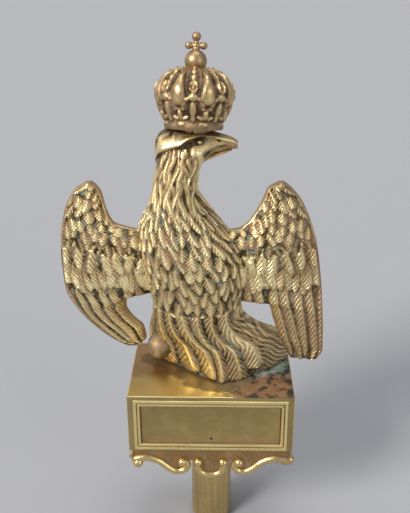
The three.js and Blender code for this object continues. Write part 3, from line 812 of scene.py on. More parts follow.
    def wing(self, rows: Array) -> Shell:
        """Builds one wing.

        Args:
            rows: its sections, from the wrist to the tip.

        Returns:
            The shell, with the back of the wing first in every row.
        """
        table = np.column_stack([np.linspace(0, 1, len(rows)), rows])
        count = round(self.wing_length / self.grain)
        share = np.linspace(0.0, 1.0, count)
        columns = (column[:, None] for column in eased(table, share).T)
        outer_x, outer_z, inner_x, inner_z, outer_y, inner_y = columns
        faces = []
        marks: dict[str, list[Array]] = {}
        for side, steps in ((-1, round(self.wing_breadth / self.grain)), (1, 30)):
            across = np.linspace(0.0, 1.0, steps)[None, :]
            if side > 0:
                across = across[:, ::-1]
            along = share[:, None] + 0 * across
            across = across + 0 * along
            width = np.hypot(outer_x - inner_x, outer_z - inner_z) + 0 * along
            x, z = mix(outer_x, inner_x, across), mix(outer_z, inner_z, across)
            bow = self.wing_bow * np.sin(math.pi * across) * np.sin(math.pi * np.minimum(1, along + 0.12))
            ends = np.minimum(1, np.minimum(0.6 + 4 * along, 0.6 + 4 * (1 - along)))
            body = np.sqrt(np.clip(1 - (2 * across - 1) ** 4, 0, 1))
            swell = mix(0.62, 1.0, np.sin(math.pi * across)) * mix(0.55, 1.0, body)
            half = self.wing_thickness / 2 * ends * swell
            feathers = self.wing_feathers_on(rows, x, z)
            rim = 1 - smooth_step(1.0, 2.4, np.minimum(across, 1 - across) * width)
            wrist = smooth_step(0.07, 0.03, along)
            rim = np.maximum(rim, wrist)
            height = mix(feathers["height"] - self.sunk, 1.0 + 0 * along, rim) * (1.0 if side < 0 else 0.5)
            feathers["barb"] = feathers["barb"] * (1 - rim)
            feathers["relief"] = relief_share(height, False)
            feathers["smooth"] = rim
            del feathers["height"]
            y = mix(outer_y, inner_y, across) - bow + side * (half + height)
            faces.append(np.stack([x, y, z], axis=-1))
            for name, grid in feathers.items():
                marks.setdefault(name, []).append(grid)
        joined = {name: np.concatenate(grids, axis=1) for name, grids in marks.items()}
        return Shell(np.concatenate(faces, axis=1), joined)

    def wing_feathers_on(self, rows: Array, x: Array, z: Array) -> dict[str, Array]:
        """Lays tufts, coverts and flight feathers on a wing, in columns along its outer edge.

        Args:
            rows: the wing's sections.
            x: places across.
            z: heights over the plinth.

        Returns:
            The same grids as Plumage.lay.
        """
        edge = rows[np.argsort(rows[:, 1])]
        outer = np.interp(z, edge[:, 1], edge[:, 0])
        low_edge = rows[rows[:, 3] < 76.0][::-1]
        tip_width = np.abs(outer - np.interp(z, low_edge[:, 3], low_edge[:, 2])) / self.primaries
        feather = mix(tip_width, self.wing_feather + 0 * z, smooth_step(62.0, 70.0, z))
        feather = np.clip(feather, 3.0, self.wing_feather)
        place = np.abs(x - outer) / feather
        travel = 180.0 - z
        level = z + 0.12 * np.abs(x - outer) * smooth_step(90.0, 110.0, z)
        down, share = (self.tufts_end - level) / self.tuft_row, self.tuft_share
        tufts = self.tuft_plumage.lay(place / share, down, feather * share, travel, last=0)
        down = 2 + (self.coverts_end - level) / self.covert_row
        coverts = self.covert_plumage.lay(place, down, feather, travel, last=2)
        down = (self.coverts_end - z) / (self.coverts_end - rows[:, 1].min())
        flight = self.flight_plumage.lay(place + 0.5, np.clip(down, -0.6, 0.999), feather, travel, last=1)
        marks = flight
        above = (coverts["height"] > 0.25) & (coverts["height"] + 0.35 > marks["height"])
        marks = {name: np.where(above, coverts[name], grid) for name, grid in marks.items()}
        above = (tufts["height"] > 0.1) | (level > self.tufts_end + 8.0)
        marks = {name: np.where(above, tufts[name], grid) for name, grid in marks.items()}
        return marks

    def head(self) -> Shell:
        """Builds the head with its brow ridge, eye hollow and hooked beak."""
        low, high = HEAD_ROWS[0, 0], HEAD_ROWS[-1, 0]
        place = np.linspace(low, high, round((high - low) / 0.85))
        half, top, ridge, hollow, cheek, under = eased(HEAD_ROWS, place).T
        key = [
            (0 * half, top),
            (0.5 * half, top - 0.4),
            (half, ridge),
            (half - hollow, mix(ridge, cheek, 0.4)),
            (0.96 * half, cheek),
            (0.62 * half, mix(cheek, under, 0.75)),
            (0 * half, under),
        ]
        aside = np.stack([value[0] for value in key], axis=1)
        height = np.stack([value[1] for value in key], axis=1)
        knots = np.array([0.0, 0.17, 0.33, 0.48, 0.68, 0.86, 1.0])
        ring = np.linspace(0.0, 1.0, 44)
        aside = eased(np.column_stack([knots, aside.T]), ring).T
        height = eased(np.column_stack([knots, height.T]), ring).T
        x = np.repeat(place[:, None], len(ring), axis=1)
        share = np.repeat(ring[None, :], len(place), axis=0)
        locks = 1.1 * np.sin(0.75 * x + 5.0 * share + 1.6 * np.sin(0.21 * x + 9 * share))
        hair = smooth_step(2, -6, x) * smooth_step(0.42, 0.5, share)
        crease = 0.55 * np.sin(x * 0.7 + 34 * share + 1.8 * np.sin(0.4 * x))
        crease = crease * smooth_step(0.3, 0.2, share) * smooth_step(16, 4, x)
        back, side = smooth_step(-32, -25, x), smooth_step(26, 14, x)
        roll = 1.7 * soft_ridge(share, 0.31, 0.045) * back * side
        under_roll = -1.2 * soft_ridge(share, 0.45, 0.06) * smooth_step(-30, -22, x) * smooth_step(12, 4, x)
        eye = -1.8 * soft_ridge(x, 3.5, 3.6) * soft_ridge(share, 0.43, 0.06)
        nostril = -0.9 * soft_ridge(x, 19.5, 1.5) * soft_ridge(share, 0.47, 0.05)
        cheek_line = np.interp(height, (174.0, 181.0, 190.0, 198.0, 204.0), (-5.0, 0.5, 3.6, 5.0, 4.0))
        pad = 1.5 * soft_ridge(x, cheek_line, 2.4)
        pad = pad * smooth_step(172, 178, height) * smooth_step(208, 200, height)
        pit = -1.9 * soft_ridge(x, -0.8, 2.2) * soft_ridge(height, 193.5, 3.4)
        gape = -0.8 * soft_ridge(share, 0.72, 0.05) * smooth_step(2, 8, x) * smooth_step(30, 22, x)
        lift = locks * hair + crease + roll + under_roll + eye + nostril + pad + pit + gape
        aside = aside + lift * np.minimum(1.0, aside / 3.0)
        near = np.stack([x, self.head_middle - aside, height], axis=-1)
        far = np.stack([x, self.head_middle + aside, height], axis=-1)[:, -2:0:-1]
        # Painted highlight and shade: the relief mark rises along the brow ridge and falls in the hollow under
        # it.
        brow = soft_ridge(share, 0.31, 0.05) - 0.9 * soft_ridge(share, 0.46, 0.07) * smooth_step(12, 2, x)
        flat = 0.3 * smooth_step(0.24, 0.14, share) * smooth_step(16.0, 6.0, x)
        lift, brow, flat = (np.concatenate([grid, grid[:, -2:0:-1]], axis=1) for grid in (lift, brow, flat))
        relief = np.clip(relief_share(lift, True) + 0.5 * brow - flat, 0, 1)
        return Shell(np.concatenate([near, far], axis=1), {"relief": relief, "smooth": 0 * lift + 0.35})

    def jaw(self) -> Shell:
        """Builds the lower mandible."""
        place = np.linspace(JAW_ROWS[0, 0], JAW_ROWS[-1, 0], 30)
        half, top, under = eased(JAW_ROWS, place).T
        turn = np.linspace(0, 2 * math.pi, 20, endpoint=False)[None, :]
        y = self.head_middle + half[:, None] * np.sin(turn)
        middle, reach = (top + under) / 2, (top - under) / 2
        z = middle[:, None] + reach[:, None] * np.cos(turn)
        points = np.stack([np.repeat(place[:, None], 20, axis=1), y, z], axis=-1)
        return Shell(points, {"smooth": np.full(points.shape[:2], 0.6)})

    def leg(self, x: float) -> list[Shell]:
        """Builds one leg with its toes on the breast side, plainer than the back."""
        shank = curve_through([(x, 30, 60), (x, 34, 30), (x, 35, 4)], 16)
        shells = [egg((13, 11, 24), (x, 27, 66)), rod(shank, np.linspace(7.5, 5.5, 16))]
        for spread in (-11, 0, 11):
            toe = curve_through([(x, 33, 6), (x + spread / 2, 39, 6), (x + spread, 43, 2.5)], 12)
            shells.append(rod(toe, np.linspace(4.4, 1.8, 12)))
        return shells

    def on_neck(self, line: list[tuple[float, float]], sunk: float, count: int) -> Array:
        """Lays a line on the near side of the neck.

        Args:
            line: places as x and height.
            sunk: how far the line lies under the surface.
            count: number of points.

        Returns:
            The line's points.
        """
        path = curve_through(line, count)
        left, right, back, _, widest, _ = eased(BODY_ROWS, path[:, 1]).T
        middle, reach = (left + right) / 2, (right - left) / 2
        depth = np.sqrt(np.clip(1 - ((path[:, 0] - middle) / reach) ** 2, 0.02, 1))
        return np.column_stack([path[:, 0], widest - (widest - back) * depth + sunk, path[:, 1]])

    def face_details(self) -> list[Shell]:
        """Builds the eyes, the tongue and the long locks that hang over the neck."""
        shells = []
        for side in (-1, 1):
            shells.append(egg((2.2, 1.8, 1.6), (3.8, self.head_middle + side * 11.4, 211.2), 0.7))
        tongue = [(4, self.head_middle, 197.6), (15, self.head_middle, 201.2), (28, self.head_middle, 204.2)]
        shells.append(rod(curve_through(tongue, 14), np.linspace(3.0, 1.6, 14), smooth=0.5))
        for line in NECK_LOCKS:
            share = np.linspace(0, 1, 30)
            radii = 0.5 + 1.7 * np.sin(math.pi * share**0.8)
            shells.append(rod(self.on_neck(line, 0.0, 30), radii, sides=8, smooth=0.1))
        return shells

    def build(self) -> bpy.types.Object:
        """Joins all the eagle's shapes, cuts its foot flat and leaves room for the crown.

        Returns:
            The eagle's mesh object, in the part's frame.
        """
        shells = [
            self.body(),
            self.head(),
            self.jaw(),
            self.wing(LEFT_WING_ROWS),
            self.wing(RIGHT_WING_ROWS),
            egg(self.swelling, self.swelling_place, 1.0, 0.34),
            *(shell for x in self.leg_places for shell in self.leg(x)),
            *self.face_details(),
        ]
        for shell in shells:
            shell.points = shell.points + np.array([self.shift, 0.0, self.base])
        seat = self.crown_place.cylinder(self.seat_radius, self.seat_radius, -self.seat_depth, 0.0)
        shells.append(seat)
        pieces = [shell.build(f"eagle_shape_{i}") for i, shell in enumerate(shells)]
        combine(pieces[0], pieces[1:], Cut.UNION)
        room = self.crown_place.room()
        ground = box_object("ground", (-200, -100, self.base - 60), (200, 100, self.base))
        combine(pieces[0], [room.build("room"), ground], Cut.DIFFERENCE)
        pieces[0].name = "crowned_eagle"
        carry_marks(pieces[0], shells)
        return pieces[0]


# Crown


@dataclass
class CrownPlace:
    """Where the crown stands on the head, and how it leans.

    Attributes:
        x: its foot's middle along x.
        z: height of its foot.
        y: its foot's middle along y.
        tilt_back: lean towards the back of the bird, in degrees.
        tilt_right: lean towards the beak, in degrees.
        room_foot: radius, at its foot, of the room it takes over the head.
        room_top: radius of that room at its top.
        room_height: height of that room.
        sides: points round the room and the seat.
    """

    x: float
    z: float
    y: float = 15.0
    tilt_back: float = 10.5
    tilt_right: float = 2.0
    room_foot: float = 27.4
    room_top: float = 33.4
    room_height: float = 48.5
    sides: int = 48

    def put(self, points: Array) -> Array:
        """Moves points from the crown's own frame onto the head."""
        back = Matrix.Rotation(math.radians(-self.tilt_back), 3, "X")
        turn = back @ Matrix.Rotation(math.radians(self.tilt_right), 3, "Y")
        return points @ np.array(turn).T + np.array([self.x, self.y, self.z])

    def cylinder(self, low_radius: float, high_radius: float, low: float, high: float) -> Shell:
        """Makes a closed round body between two levels of the crown's frame."""
        turn = np.linspace(0, 2 * math.pi, self.sides, endpoint=False)
        rings = [
            np.stack([radius * np.cos(turn), radius * np.sin(turn), level + 0 * turn], axis=-1)
            for radius, level in ((low_radius, low), (high_radius, high))
        ]
        return Shell(self.put(np.stack(rings)), {"smooth": np.full((2, self.sides), 1.0)})

    def room(self) -> Shell:
        """Makes the room over the head that the crown takes."""
        return self.cylinder(self.room_foot, self.room_top, -0.3, self.room_height)


def bump(x: Array, z: Array, size: tuple[float, float], height: float, turn: float = 0.0) -> Array:
    """Returns a rounded boss round the origin.

    Args:
        x: distances aside in millimetres.
        z: distances up in millimetres.
        size: its half width and half height.
        height: how far it stands out.
        turn: its lean in degrees.

    Returns:
        The boss's height at each point.
    """
    c, s = math.cos(math.radians(turn)), math.sin(math.radians(turn))
    across, up = (x * c + z * s) / size[0], (z * c - x * s) / size[1]
    return height * np.sqrt(np.clip(1.0 - across**2 - up**2, 0.0, 1.0))


@dataclass
class Crown:
    """The crown: a band with leaves, cushions between eight pearled arches, an orb and a cross of balls.

    Attributes:
        place: where it stands.
        radius: radius of its band.
        band: height of the band.
        bulge_radius: radius of its widest place.
        body_height: height to the orb's foot.
        arches: number of arches.
        orb_radius: radius of the orb.
        cross_ball: radius of the balls on the cross's arms.
        cross_top_ball: radius of the ball on its top.
        cross_arm: distance from the cross's middle to the balls on its arms.
        cross_rise: distance from its middle to the ball on its top.
        cross_stem: radius of its stem.
    """

    place: CrownPlace
    radius: float = 24.4
    band: float = 5.6
    bulge_radius: float = 30.4
    body_height: float = 48.5
    arches: int = 8
    orb_radius: float = 9.0
    cross_ball: float = 3.0
    cross_top_ball: float = 3.7
    cross_arm: float = 6.0
    cross_rise: float = 6.9
    cross_stem: float = 2.3

    def outline(self) -> Array:
        """Returns the outline from the foot to the middle of the roof, as radius and height."""
        wide, tall = self.bulge_radius, self.body_height
        return np.array(
            [
                [self.radius * 0.97, 0],
                [self.radius, self.band * 0.5],
                [self.radius * 0.98, self.band],
                [self.radius * 1.1, tall * 0.3],
                [wide * 0.98, tall * 0.48],
                [wide, tall * 0.6],
                [wide * 0.87, tall * 0.78],
                [wide * 0.69, tall * 0.9],
                [wide * 0.43, tall * 0.98],
                [wide * 0.13, tall],
            ]
        )

    def relief(self, phase: Array, radius: Array, share: Array) -> Array:
        """Returns the height of leaves, arches and cushions over the plain crown.

        Args:
            phase: place between arches, where 0 is an arch and plus or minus a half is between two.
            radius: the plain crown's radius.
            share: share of the crown's height.

        Returns:
            Heights in millimetres.
        """
        tall = self.body_height
        spacing = 2 * math.pi * radius / self.arches
        x = phase * spacing
        between = (np.abs(phase) - 0.5) * spacing
        z = share * tall
        taper = np.clip(spacing / (2 * math.pi * self.bulge_radius / self.arches), 0.15, 1.0)
        drop = smooth_step(0.98, 0.5, share)
        cushion_width = (1.2 + 5.2 * drop) * smooth_step(0.36, 0.5, share)
        cushion = 3.3 * np.sqrt(np.clip(1 - (between / np.maximum(cushion_width, 0.3)) ** 2, 0, 1))
        cushion = cushion * smooth_step(0.36, 0.46, share) * smooth_step(0.985, 0.8, share)
        rib = 0.8 * soft_ridge(np.abs(between), cushion_width + 1.5, 0.5) * smooth_step(0.5, 0.6, share)
        arch = 1.2 * np.exp(-((x / (1.7 * taper)) ** 4))
        arch = arch * smooth_step(0.6, 0.66, share) * smooth_step(1.0, 0.95, share)
        ring_at = np.hypot(x / 3.6, (z - 0.68 * tall) / 4.6)
        ring = 2.2 * soft_ridge(ring_at, 0.8, 0.26) + 0.5 * smooth_step(1.0, 0.8, ring_at)
        leaf = np.maximum.reduce(
            [
                bump(x, z - 0.53 * tall, (4.4, 3.4), 2.9),
                bump(np.abs(x) - 4.6, z - 0.5 * tall, (3.4, 2.0), 2.5, -30),
                bump(np.abs(x) - 7.4, z - 0.425 * tall, (3.2, 2.2), 2.2, -48),
                bump(np.abs(x) - 7.8, z - 0.35 * tall, (2.1, 2.0), 1.8, 0),
                bump(x, z - 0.34 * tall, (2.9, 6.4), 2.5),
                bump(x, z - 0.2 * tall, (2.0, 3.6), 1.9),
            ]
        )
        crest = 0.38 * tall - 0.1 * tall * np.abs(np.abs(2 * phase) - 0.62)
        crest = crest - 0.02 * tall * np.cos(9 * np.abs(between))
        crest_line = 1.5 * soft_ridge(z, crest, 1.1) * smooth_step(0.16, 0.26, np.abs(phase))
        fleuron = np.maximum.reduce(
            [
                bump(between, z - 0.25 * tall, (2.2, 4.6), 2.5),
                bump(np.abs(between) - 3.9, z - 0.2 * tall, (3.4, 1.7), 2.0, 24),
                bump(between, z - 0.1 * tall, (4.4, 2.1), 1.2),
            ]
        )
        return np.maximum.reduce([cushion, rib, arch, ring, leaf, crest_line, fleuron, 0 * fleuron])

    def body(self) -> Shell:
        """Builds the crown's body from its outline and relief."""
        outline = self.outline()
        length = np.concatenate([[0], np.cumsum(np.linalg.norm(np.diff(outline, axis=0), axis=1))])
        at = np.linspace(0, length[-1], 104)
        radius, z = eased(np.column_stack([length, outline]), at).T
        turns = np.linspace(0, 1, self.arches * 34, endpoint=False)
        phase = np.mod(turns * self.arches + 0.5, 1.0) - 0.5
        slope_r, slope_z = np.gradient(radius), np.gradient(z)
        norm = np.hypot(slope_r, slope_z)
        relief = self.relief(phase[None, :], radius[:, None], (z / self.body_height)[:, None])
        reach = radius[:, None] + relief * (slope_z / norm)[:, None]
        height = z[:, None] - relief * (slope_r / norm)[:, None]
        angle = turns[None, :] * 2 * math.pi
        points = np.stack([reach * np.cos(angle), reach * np.sin(angle), height + 0 * angle], axis=-1)
        share = (z / self.body_height)[:, None] + 0 * angle
        marks = {
            "relief": relief_share(relief * 0.8, True),
            "smooth": smooth_step(0.40, 0.55, share) * smooth_step(0.2, 0.4, np.abs(phase)[None, :]) * 0.8,
        }
        return Shell(self.place.put(points), marks)

    def pearls(self, material: bpy.types.Material) -> bpy.types.Object:
        """Sets the pearls on the arches, growing downwards."""
        outline = self.outline()
        at_share = outline[:, 1] / self.body_height
        places, sizes = [], []
        for arch in range(self.arches):
            angle = arch / self.arches * 2 * math.pi
            for share, size in ((0.96, 1.9), (0.9, 2.4), (0.815, 2.9)):
                radius = float(np.interp(share, at_share, outline[:, 0])) - 1.2
                height = share * self.body_height + 0.6
                places.append([radius * math.cos(angle), radius * math.sin(angle), height])
                sizes.append(size)
        return set_beads("pearls", self.place.put(np.array(places)), sizes, material)

    def orb(self) -> list[Shell]:
        """Builds the orb, the stem and the cross of balls."""
        orb_height = self.body_height + self.orb_radius * 0.55
        arm_height = orb_height + self.orb_radius + self.cross_ball
        top_height = arm_height + self.cross_rise
        arm, ball, stem = self.cross_arm, self.cross_ball, self.cross_stem
        upright = np.array([[0, 0, z] for z in np.linspace(orb_height, top_height, 12)])
        across = np.array([[x, 0, arm_height] for x in np.linspace(-arm, arm, 9)])
        shells = [
            egg((self.orb_radius,) * 3, (0, 0, orb_height)),
            rod(upright, stem * (1 + 0.25 * np.cos(np.linspace(0, 4 * math.pi, 12))), 16),
            rod(across, np.full(9, stem), 16),
            egg((ball * 0.95,) * 3, (0, 0, arm_height)),
            egg((ball,) * 3, (-arm, 0, arm_height)),
            egg((ball,) * 3, (arm, 0, arm_height)),
            egg((self.cross_top_ball,) * 3, (0, 0, top_height)),
        ]
        for shell in shells:
            shell.points = self.place.put(shell.points)
        return shells

    def build(self, material: bpy.types.Material) -> bpy.types.Object:
        """Joins the crown's shapes into one piece."""
        shells = [self.body(), *self.orb()]
        pieces = [shell.build(f"crown_shape_{i}") for i, shell in enumerate(shells)]
        combine(pieces[0], [*pieces[1:], self.pearls(material)], Cut.UNION)
        pieces[0].name = "pearled_crown"
        carry_marks(pieces[0], shells)
        return pieces[0]


# Node trees that repeat a shape


class RepeatTree:
    """A node tree that lays one shape on points or lines, as large as their size says, in one material."""

    def __init__(self, name: str, source: str, count: str) -> None:
        """Starts the tree.

        Args:
            name: the tree's name.
            source: name of the input for the points or lines.
            count: name of the input for how finely the shape is divided.
        """
        self.tree = bpy.data.node_groups.new(name, "GeometryNodeTree")
        for label, kind in ((source, "Geometry"), (count, "Int"), ("Material", "Material")):
            self.tree.interface.new_socket(label, in_out="INPUT", socket_type=f"NodeSocket{kind}")
        self.tree.interface.new_socket("Result", in_out="OUTPUT", socket_type="NodeSocketGeometry")
        self.given = self.tree.nodes.new("NodeGroupInput").outputs
        size = self.tree.nodes.new("GeometryNodeInputNamedAttribute")
        size.data_type = "FLOAT"
        size.inputs["Name"].default_value = "size"
        self.size = size.outputs["Attribute"]

    def add(self, kind: str, output: str, inputs: dict[str, object]) -> bpy.types.NodeSocket:
        """Adds a node.

        Args:
            kind: the node's type.
            output: the name of its output.
            inputs: sockets to link or values to set, by the names of its inputs.

        Returns:
            The output.
        """
        node = self.tree.nodes.new(kind)
        for name, value in inputs.items():
            if isinstance(value, bpy.types.NodeSocket):
                self.tree.links.new(value, node.inputs[name])
            else:
                node.inputs[name].default_value = value
        return node.outputs[output]

    def end(self, shape: bpy.types.NodeSocket) -> bpy.types.NodeTree:
        """Ends the tree with real geometry in its material."""
        real = self.add("GeometryNodeRealizeInstances", "Geometry", {"Geometry": shape})
        dressed = {"Geometry": real, "Material": self.given["Material"]}
        result = self.tree.nodes.new("NodeGroupOutput").inputs["Result"]
        self.tree.links.new(self.add("GeometryNodeSetMaterial", "Geometry", dressed), result)
        return self.tree


def bead_tree() -> bpy.types.NodeTree:
    """Builds the tree that sets a round bead on every point."""
    tree = RepeatTree("beads", "Points", "Detail")
    bead = tree.add("GeometryNodeMeshIcoSphere", "Mesh", {"Radius": 1.0, "Subdivisions": tree.given["Detail"]})
    laid = {"Points": tree.given["Points"], "Instance": bead, "Scale": tree.size}
    return tree.end(tree.add("GeometryNodeInstanceOnPoints", "Instances", laid))


def rim_tree() -> bpy.types.NodeTree:
    """Builds the tree that runs a round rim along every line."""
    tree = RepeatTree("rolled_rim", "Lines", "Sides")
    path = tree.add("GeometryNodeMeshToCurve", "Curve", {"Mesh": tree.given["Lines"]})
    thick = tree.add("GeometryNodeSetCurveRadius", "Curve", {"Curve": path, "Radius": tree.size})
    section = {"Radius": 1.0, "Resolution": tree.given["Sides"]}
    circle = tree.add("GeometryNodeCurvePrimitiveCircle", "Curve", section)
    swept = {"Curve": thick, "Profile Curve": circle, "Scale": tree.size, "Fill Caps": True}
    return tree.end(tree.add("GeometryNodeCurveToMesh", "Mesh", swept))


def run_tree(piece: bpy.types.Object, tree: bpy.types.NodeTree, settings: dict[str, object]) -> None:
    """Turns a piece's mesh into what a node tree makes of it.

    Args:
        piece: the object whose mesh is replaced.
        tree: the node tree.
        settings: the tree's inputs by name.
    """
    modifier = piece.modifiers.new("tree", "NODES")
    modifier.node_group = tree
    for item in tree.interface.items_tree:
        if item.item_type == "SOCKET" and item.in_out == "INPUT" and item.name in settings:
            modifier[item.identifier] = settings[item.name]
    take_result(piece, modifier)


def line_mesh(name: str, lines: list[Array], sizes: list[Array]) -> bpy.types.Object:
    """Makes a mesh of loose points or lines with a size at each point.

    Args:
        name: the object's name.
        lines: points of each line, in millimetres; single points make no edge.
        sizes: the size at each point, in millimetres.

    Returns:
        The object, in metres.
    """
    points, edges = [], []
    for line in lines:
        first = len(points)
        points.extend((np.asarray(line) * MM).tolist())
        edges.extend((i, i + 1) for i in range(first, len(points) - 1))
    mesh = bpy.data.meshes.new(name)
    mesh.from_pydata(points, edges, [])
    store(mesh, "size", np.concatenate(sizes) * MM)
    return show(name, mesh)


def set_beads(name: str, places: Array, sizes: list[float], material: bpy.types.Material) -> bpy.types.Object:
    """Sets a bead of a given radius on every place."""
    piece = line_mesh(name, [place[None, :] for place in places], [np.array([size]) for size in sizes])
    run_tree(piece, bead_tree(), {"Detail": 3, "Material": material})
    return piece


def run_rims(
    name: str, lines: list[Array], sizes: list[Array], material: bpy.types.Material
) -> bpy.types.Object:
    """Runs a round rim along every line."""
    piece = line_mesh(name, lines, sizes)
    run_tree(piece, rim_tree(), {"Sides": 20, "Material": material})
    return piece


# Plinth


def rectangle(left: float, right: float, low: float, high: float, steps: int) -> Array:
    """Returns points round a rectangle from its left low corner, the same number on every side."""
    share = np.linspace(0, 1, steps, endpoint=False)[:, None]
    corners = np.array([(left, low), (right, low), (right, high), (left, high)], float)
    return np.concatenate([mix(a, b, share) for a, b in zip(corners, np.roll(corners, -1, axis=0))])


def ring_faces(rings: int, count: int, first: int = 0, closed: bool = False) -> list[tuple[int, ...]]:
    """Returns the faces between rings of points that follow one another.

    Args:
        rings: number of rings.
        count: points in a ring.
        first: index of the first point.
        closed: whether the last ring meets the first.

    Returns:
        Quads as indices.
    """
    faces = []
    for ring in range(rings if closed else rings - 1):
        a, b = first + ring * count, first + (ring + 1) % rings * count
        faces.extend((a + j, a + (j + 1) % count, b + (j + 1) % count, b + j) for j in range(count))
    return faces


@dataclass
class Plinth:
    """The sheet-brass box with a mitred frame of two beads round a sunk panel on each side.

    Attributes:
        low: lowest corner, in millimetres.
        high: highest corner.
        frame_relief: how far the beads stand out of the box.
        bevel: rounding of the upper edge.
        side_margin: from a corner to the frame.
        top_margin: from the top to the frame.
        bottom_margin: from the foot to the frame.
        bead: width of one bead.
        recess: depth of the panel.
        top_rim: width of the ring of narrow faces round the top.
        wave: unevenness of the beads.
        steps: points along each edge.
    """

    low: Array
    high: Array
    frame_relief: float = 1.3
    bevel: float = 0.9
    side_margin: float = 4.7
    top_margin: float = 3.6
    bottom_margin: float = 1.2
    bead: float = 3.2
    recess: float = 2.2
    top_rim: float = 2.2
    wave: float = 0.12
    steps: int = 24

    def frame_profile(self) -> Array:
        """Returns the frame's section as distance inwards and height over the side."""
        turn = np.linspace(0, math.pi, 9)
        bead, relief = self.bead, self.frame_relief
        swell = (1 - np.cos(turn)) / 2
        first = np.column_stack([0.95 * bead * swell, relief * np.sin(turn) ** 0.8])
        second = np.column_stack([1.1 * bead + 0.75 * bead * swell, 0.2 + 0.72 * relief * np.sin(turn)])
        slope = np.array([[bead * 2.0, -0.5], [bead * 2.15, 0.2 - self.recess], [bead * 2.3, -self.recess]])
        return np.concatenate([[[-0.2, 0.0]], first, second, slope])

    def side_faces(self, half: float, reach: float, turn: float, points: list, faces: list) -> None:
        """Adds one framed side.

        Args:
            half: half the side's length.
            reach: distance from the middle to the side's plane.
            turn: the side's turn about the upright, in degrees.
            points: the list that gets the side's points.
            faces: the list that gets its faces.
        """
        rings = [(-half, half, self.low[2], self.high[2] - self.bevel, 0.0)]
        for inwards, out in self.frame_profile():
            side = half - self.side_margin - inwards
            bottom, top = self.low[2] + self.bottom_margin + inwards, self.high[2] - self.top_margin - inwards
            rings.append((-side, side, bottom, top, out))
        first, count = len(points), 4 * self.steps
        c, s = math.cos(math.radians(turn)), math.sin(math.radians(turn))
        for left, right, bottom, top, out in rings:
            along, level = rectangle(left, right, bottom, top, self.steps).T
            wave = self.wave * np.sin(along * 0.11 + level * 0.07 + turn) * (out != 0.0)
            y = -reach - out - wave
            points.extend(zip(along * c - y * s, along * s + y * c, level))
        faces.extend(ring_faces(len(rings), count, first))
        last = first + (len(rings) - 1) * count
        faces.append(tuple(range(last, last + count)))

    def build(self) -> bpy.types.Object:
        """Builds the whole plinth as one closed mesh."""
        points: list[tuple[float, float, float]] = []
        faces: list[tuple[int, ...]] = []
        half_x, half_y = self.high[0] - self.frame_relief, self.high[1] - self.frame_relief
        for turn in (0, 90, 180, 270):
            half, reach = (half_y, half_x) if turn % 180 else (half_x, half_y)
            self.side_faces(half, reach, turn, points, faces)
        rims = [
            (self.bevel * (1 - math.cos(turn)), self.high[2] - self.bevel * (1 - math.sin(turn)))
            for turn in np.linspace(0, math.pi / 2, 4)
        ]
        rims.append((self.top_rim, self.high[2]))
        first, count = len(points), 4 * self.steps
        for inset, level in [*rims, (0.0, self.low[2])]:
            x, y = half_x - inset, half_y - inset
            points.extend((*place, level) for place in rectangle(-x, x, -y, y, self.steps))
        faces.extend(ring_faces(len(rims), count, first))
        for ring in (len(rims) - 1, len(rims)):
            start = first + ring * count
            faces.append(tuple(range(start, start + count)))
        return mesh_from("framed_plinth", points, faces, merge=0.01)


# Apron


# Points of a skirt's lower edge as shares of its half length and its drop: the middle cup and a side's sweep.
CUP = [(0, 1), (0.06, 0.985), (0.115, 0.92), (0.153, 0.8), (0.168, 0.65), (0.162, 0.5)]
SWEEP = [
    (0.345, 0.46), (0.30, 0.62), (0.325, 0.77), (0.39, 0.86), (0.47, 0.85), (0.56, 0.7), (0.66, 0.48),
    (0.78, 0.35), (0.88, 0.34), (0.97, 0.4),
]

# The scroll ends' knobs: the same shares, with their radius in rolls.
KNOBS = ((0.16, 0.47, 1.3), (-0.16, 0.47, 1.3), (0.365, 0.47, 1.4), (-0.365, 0.47, 1.4), (-0.935, 0.5, 1.5))


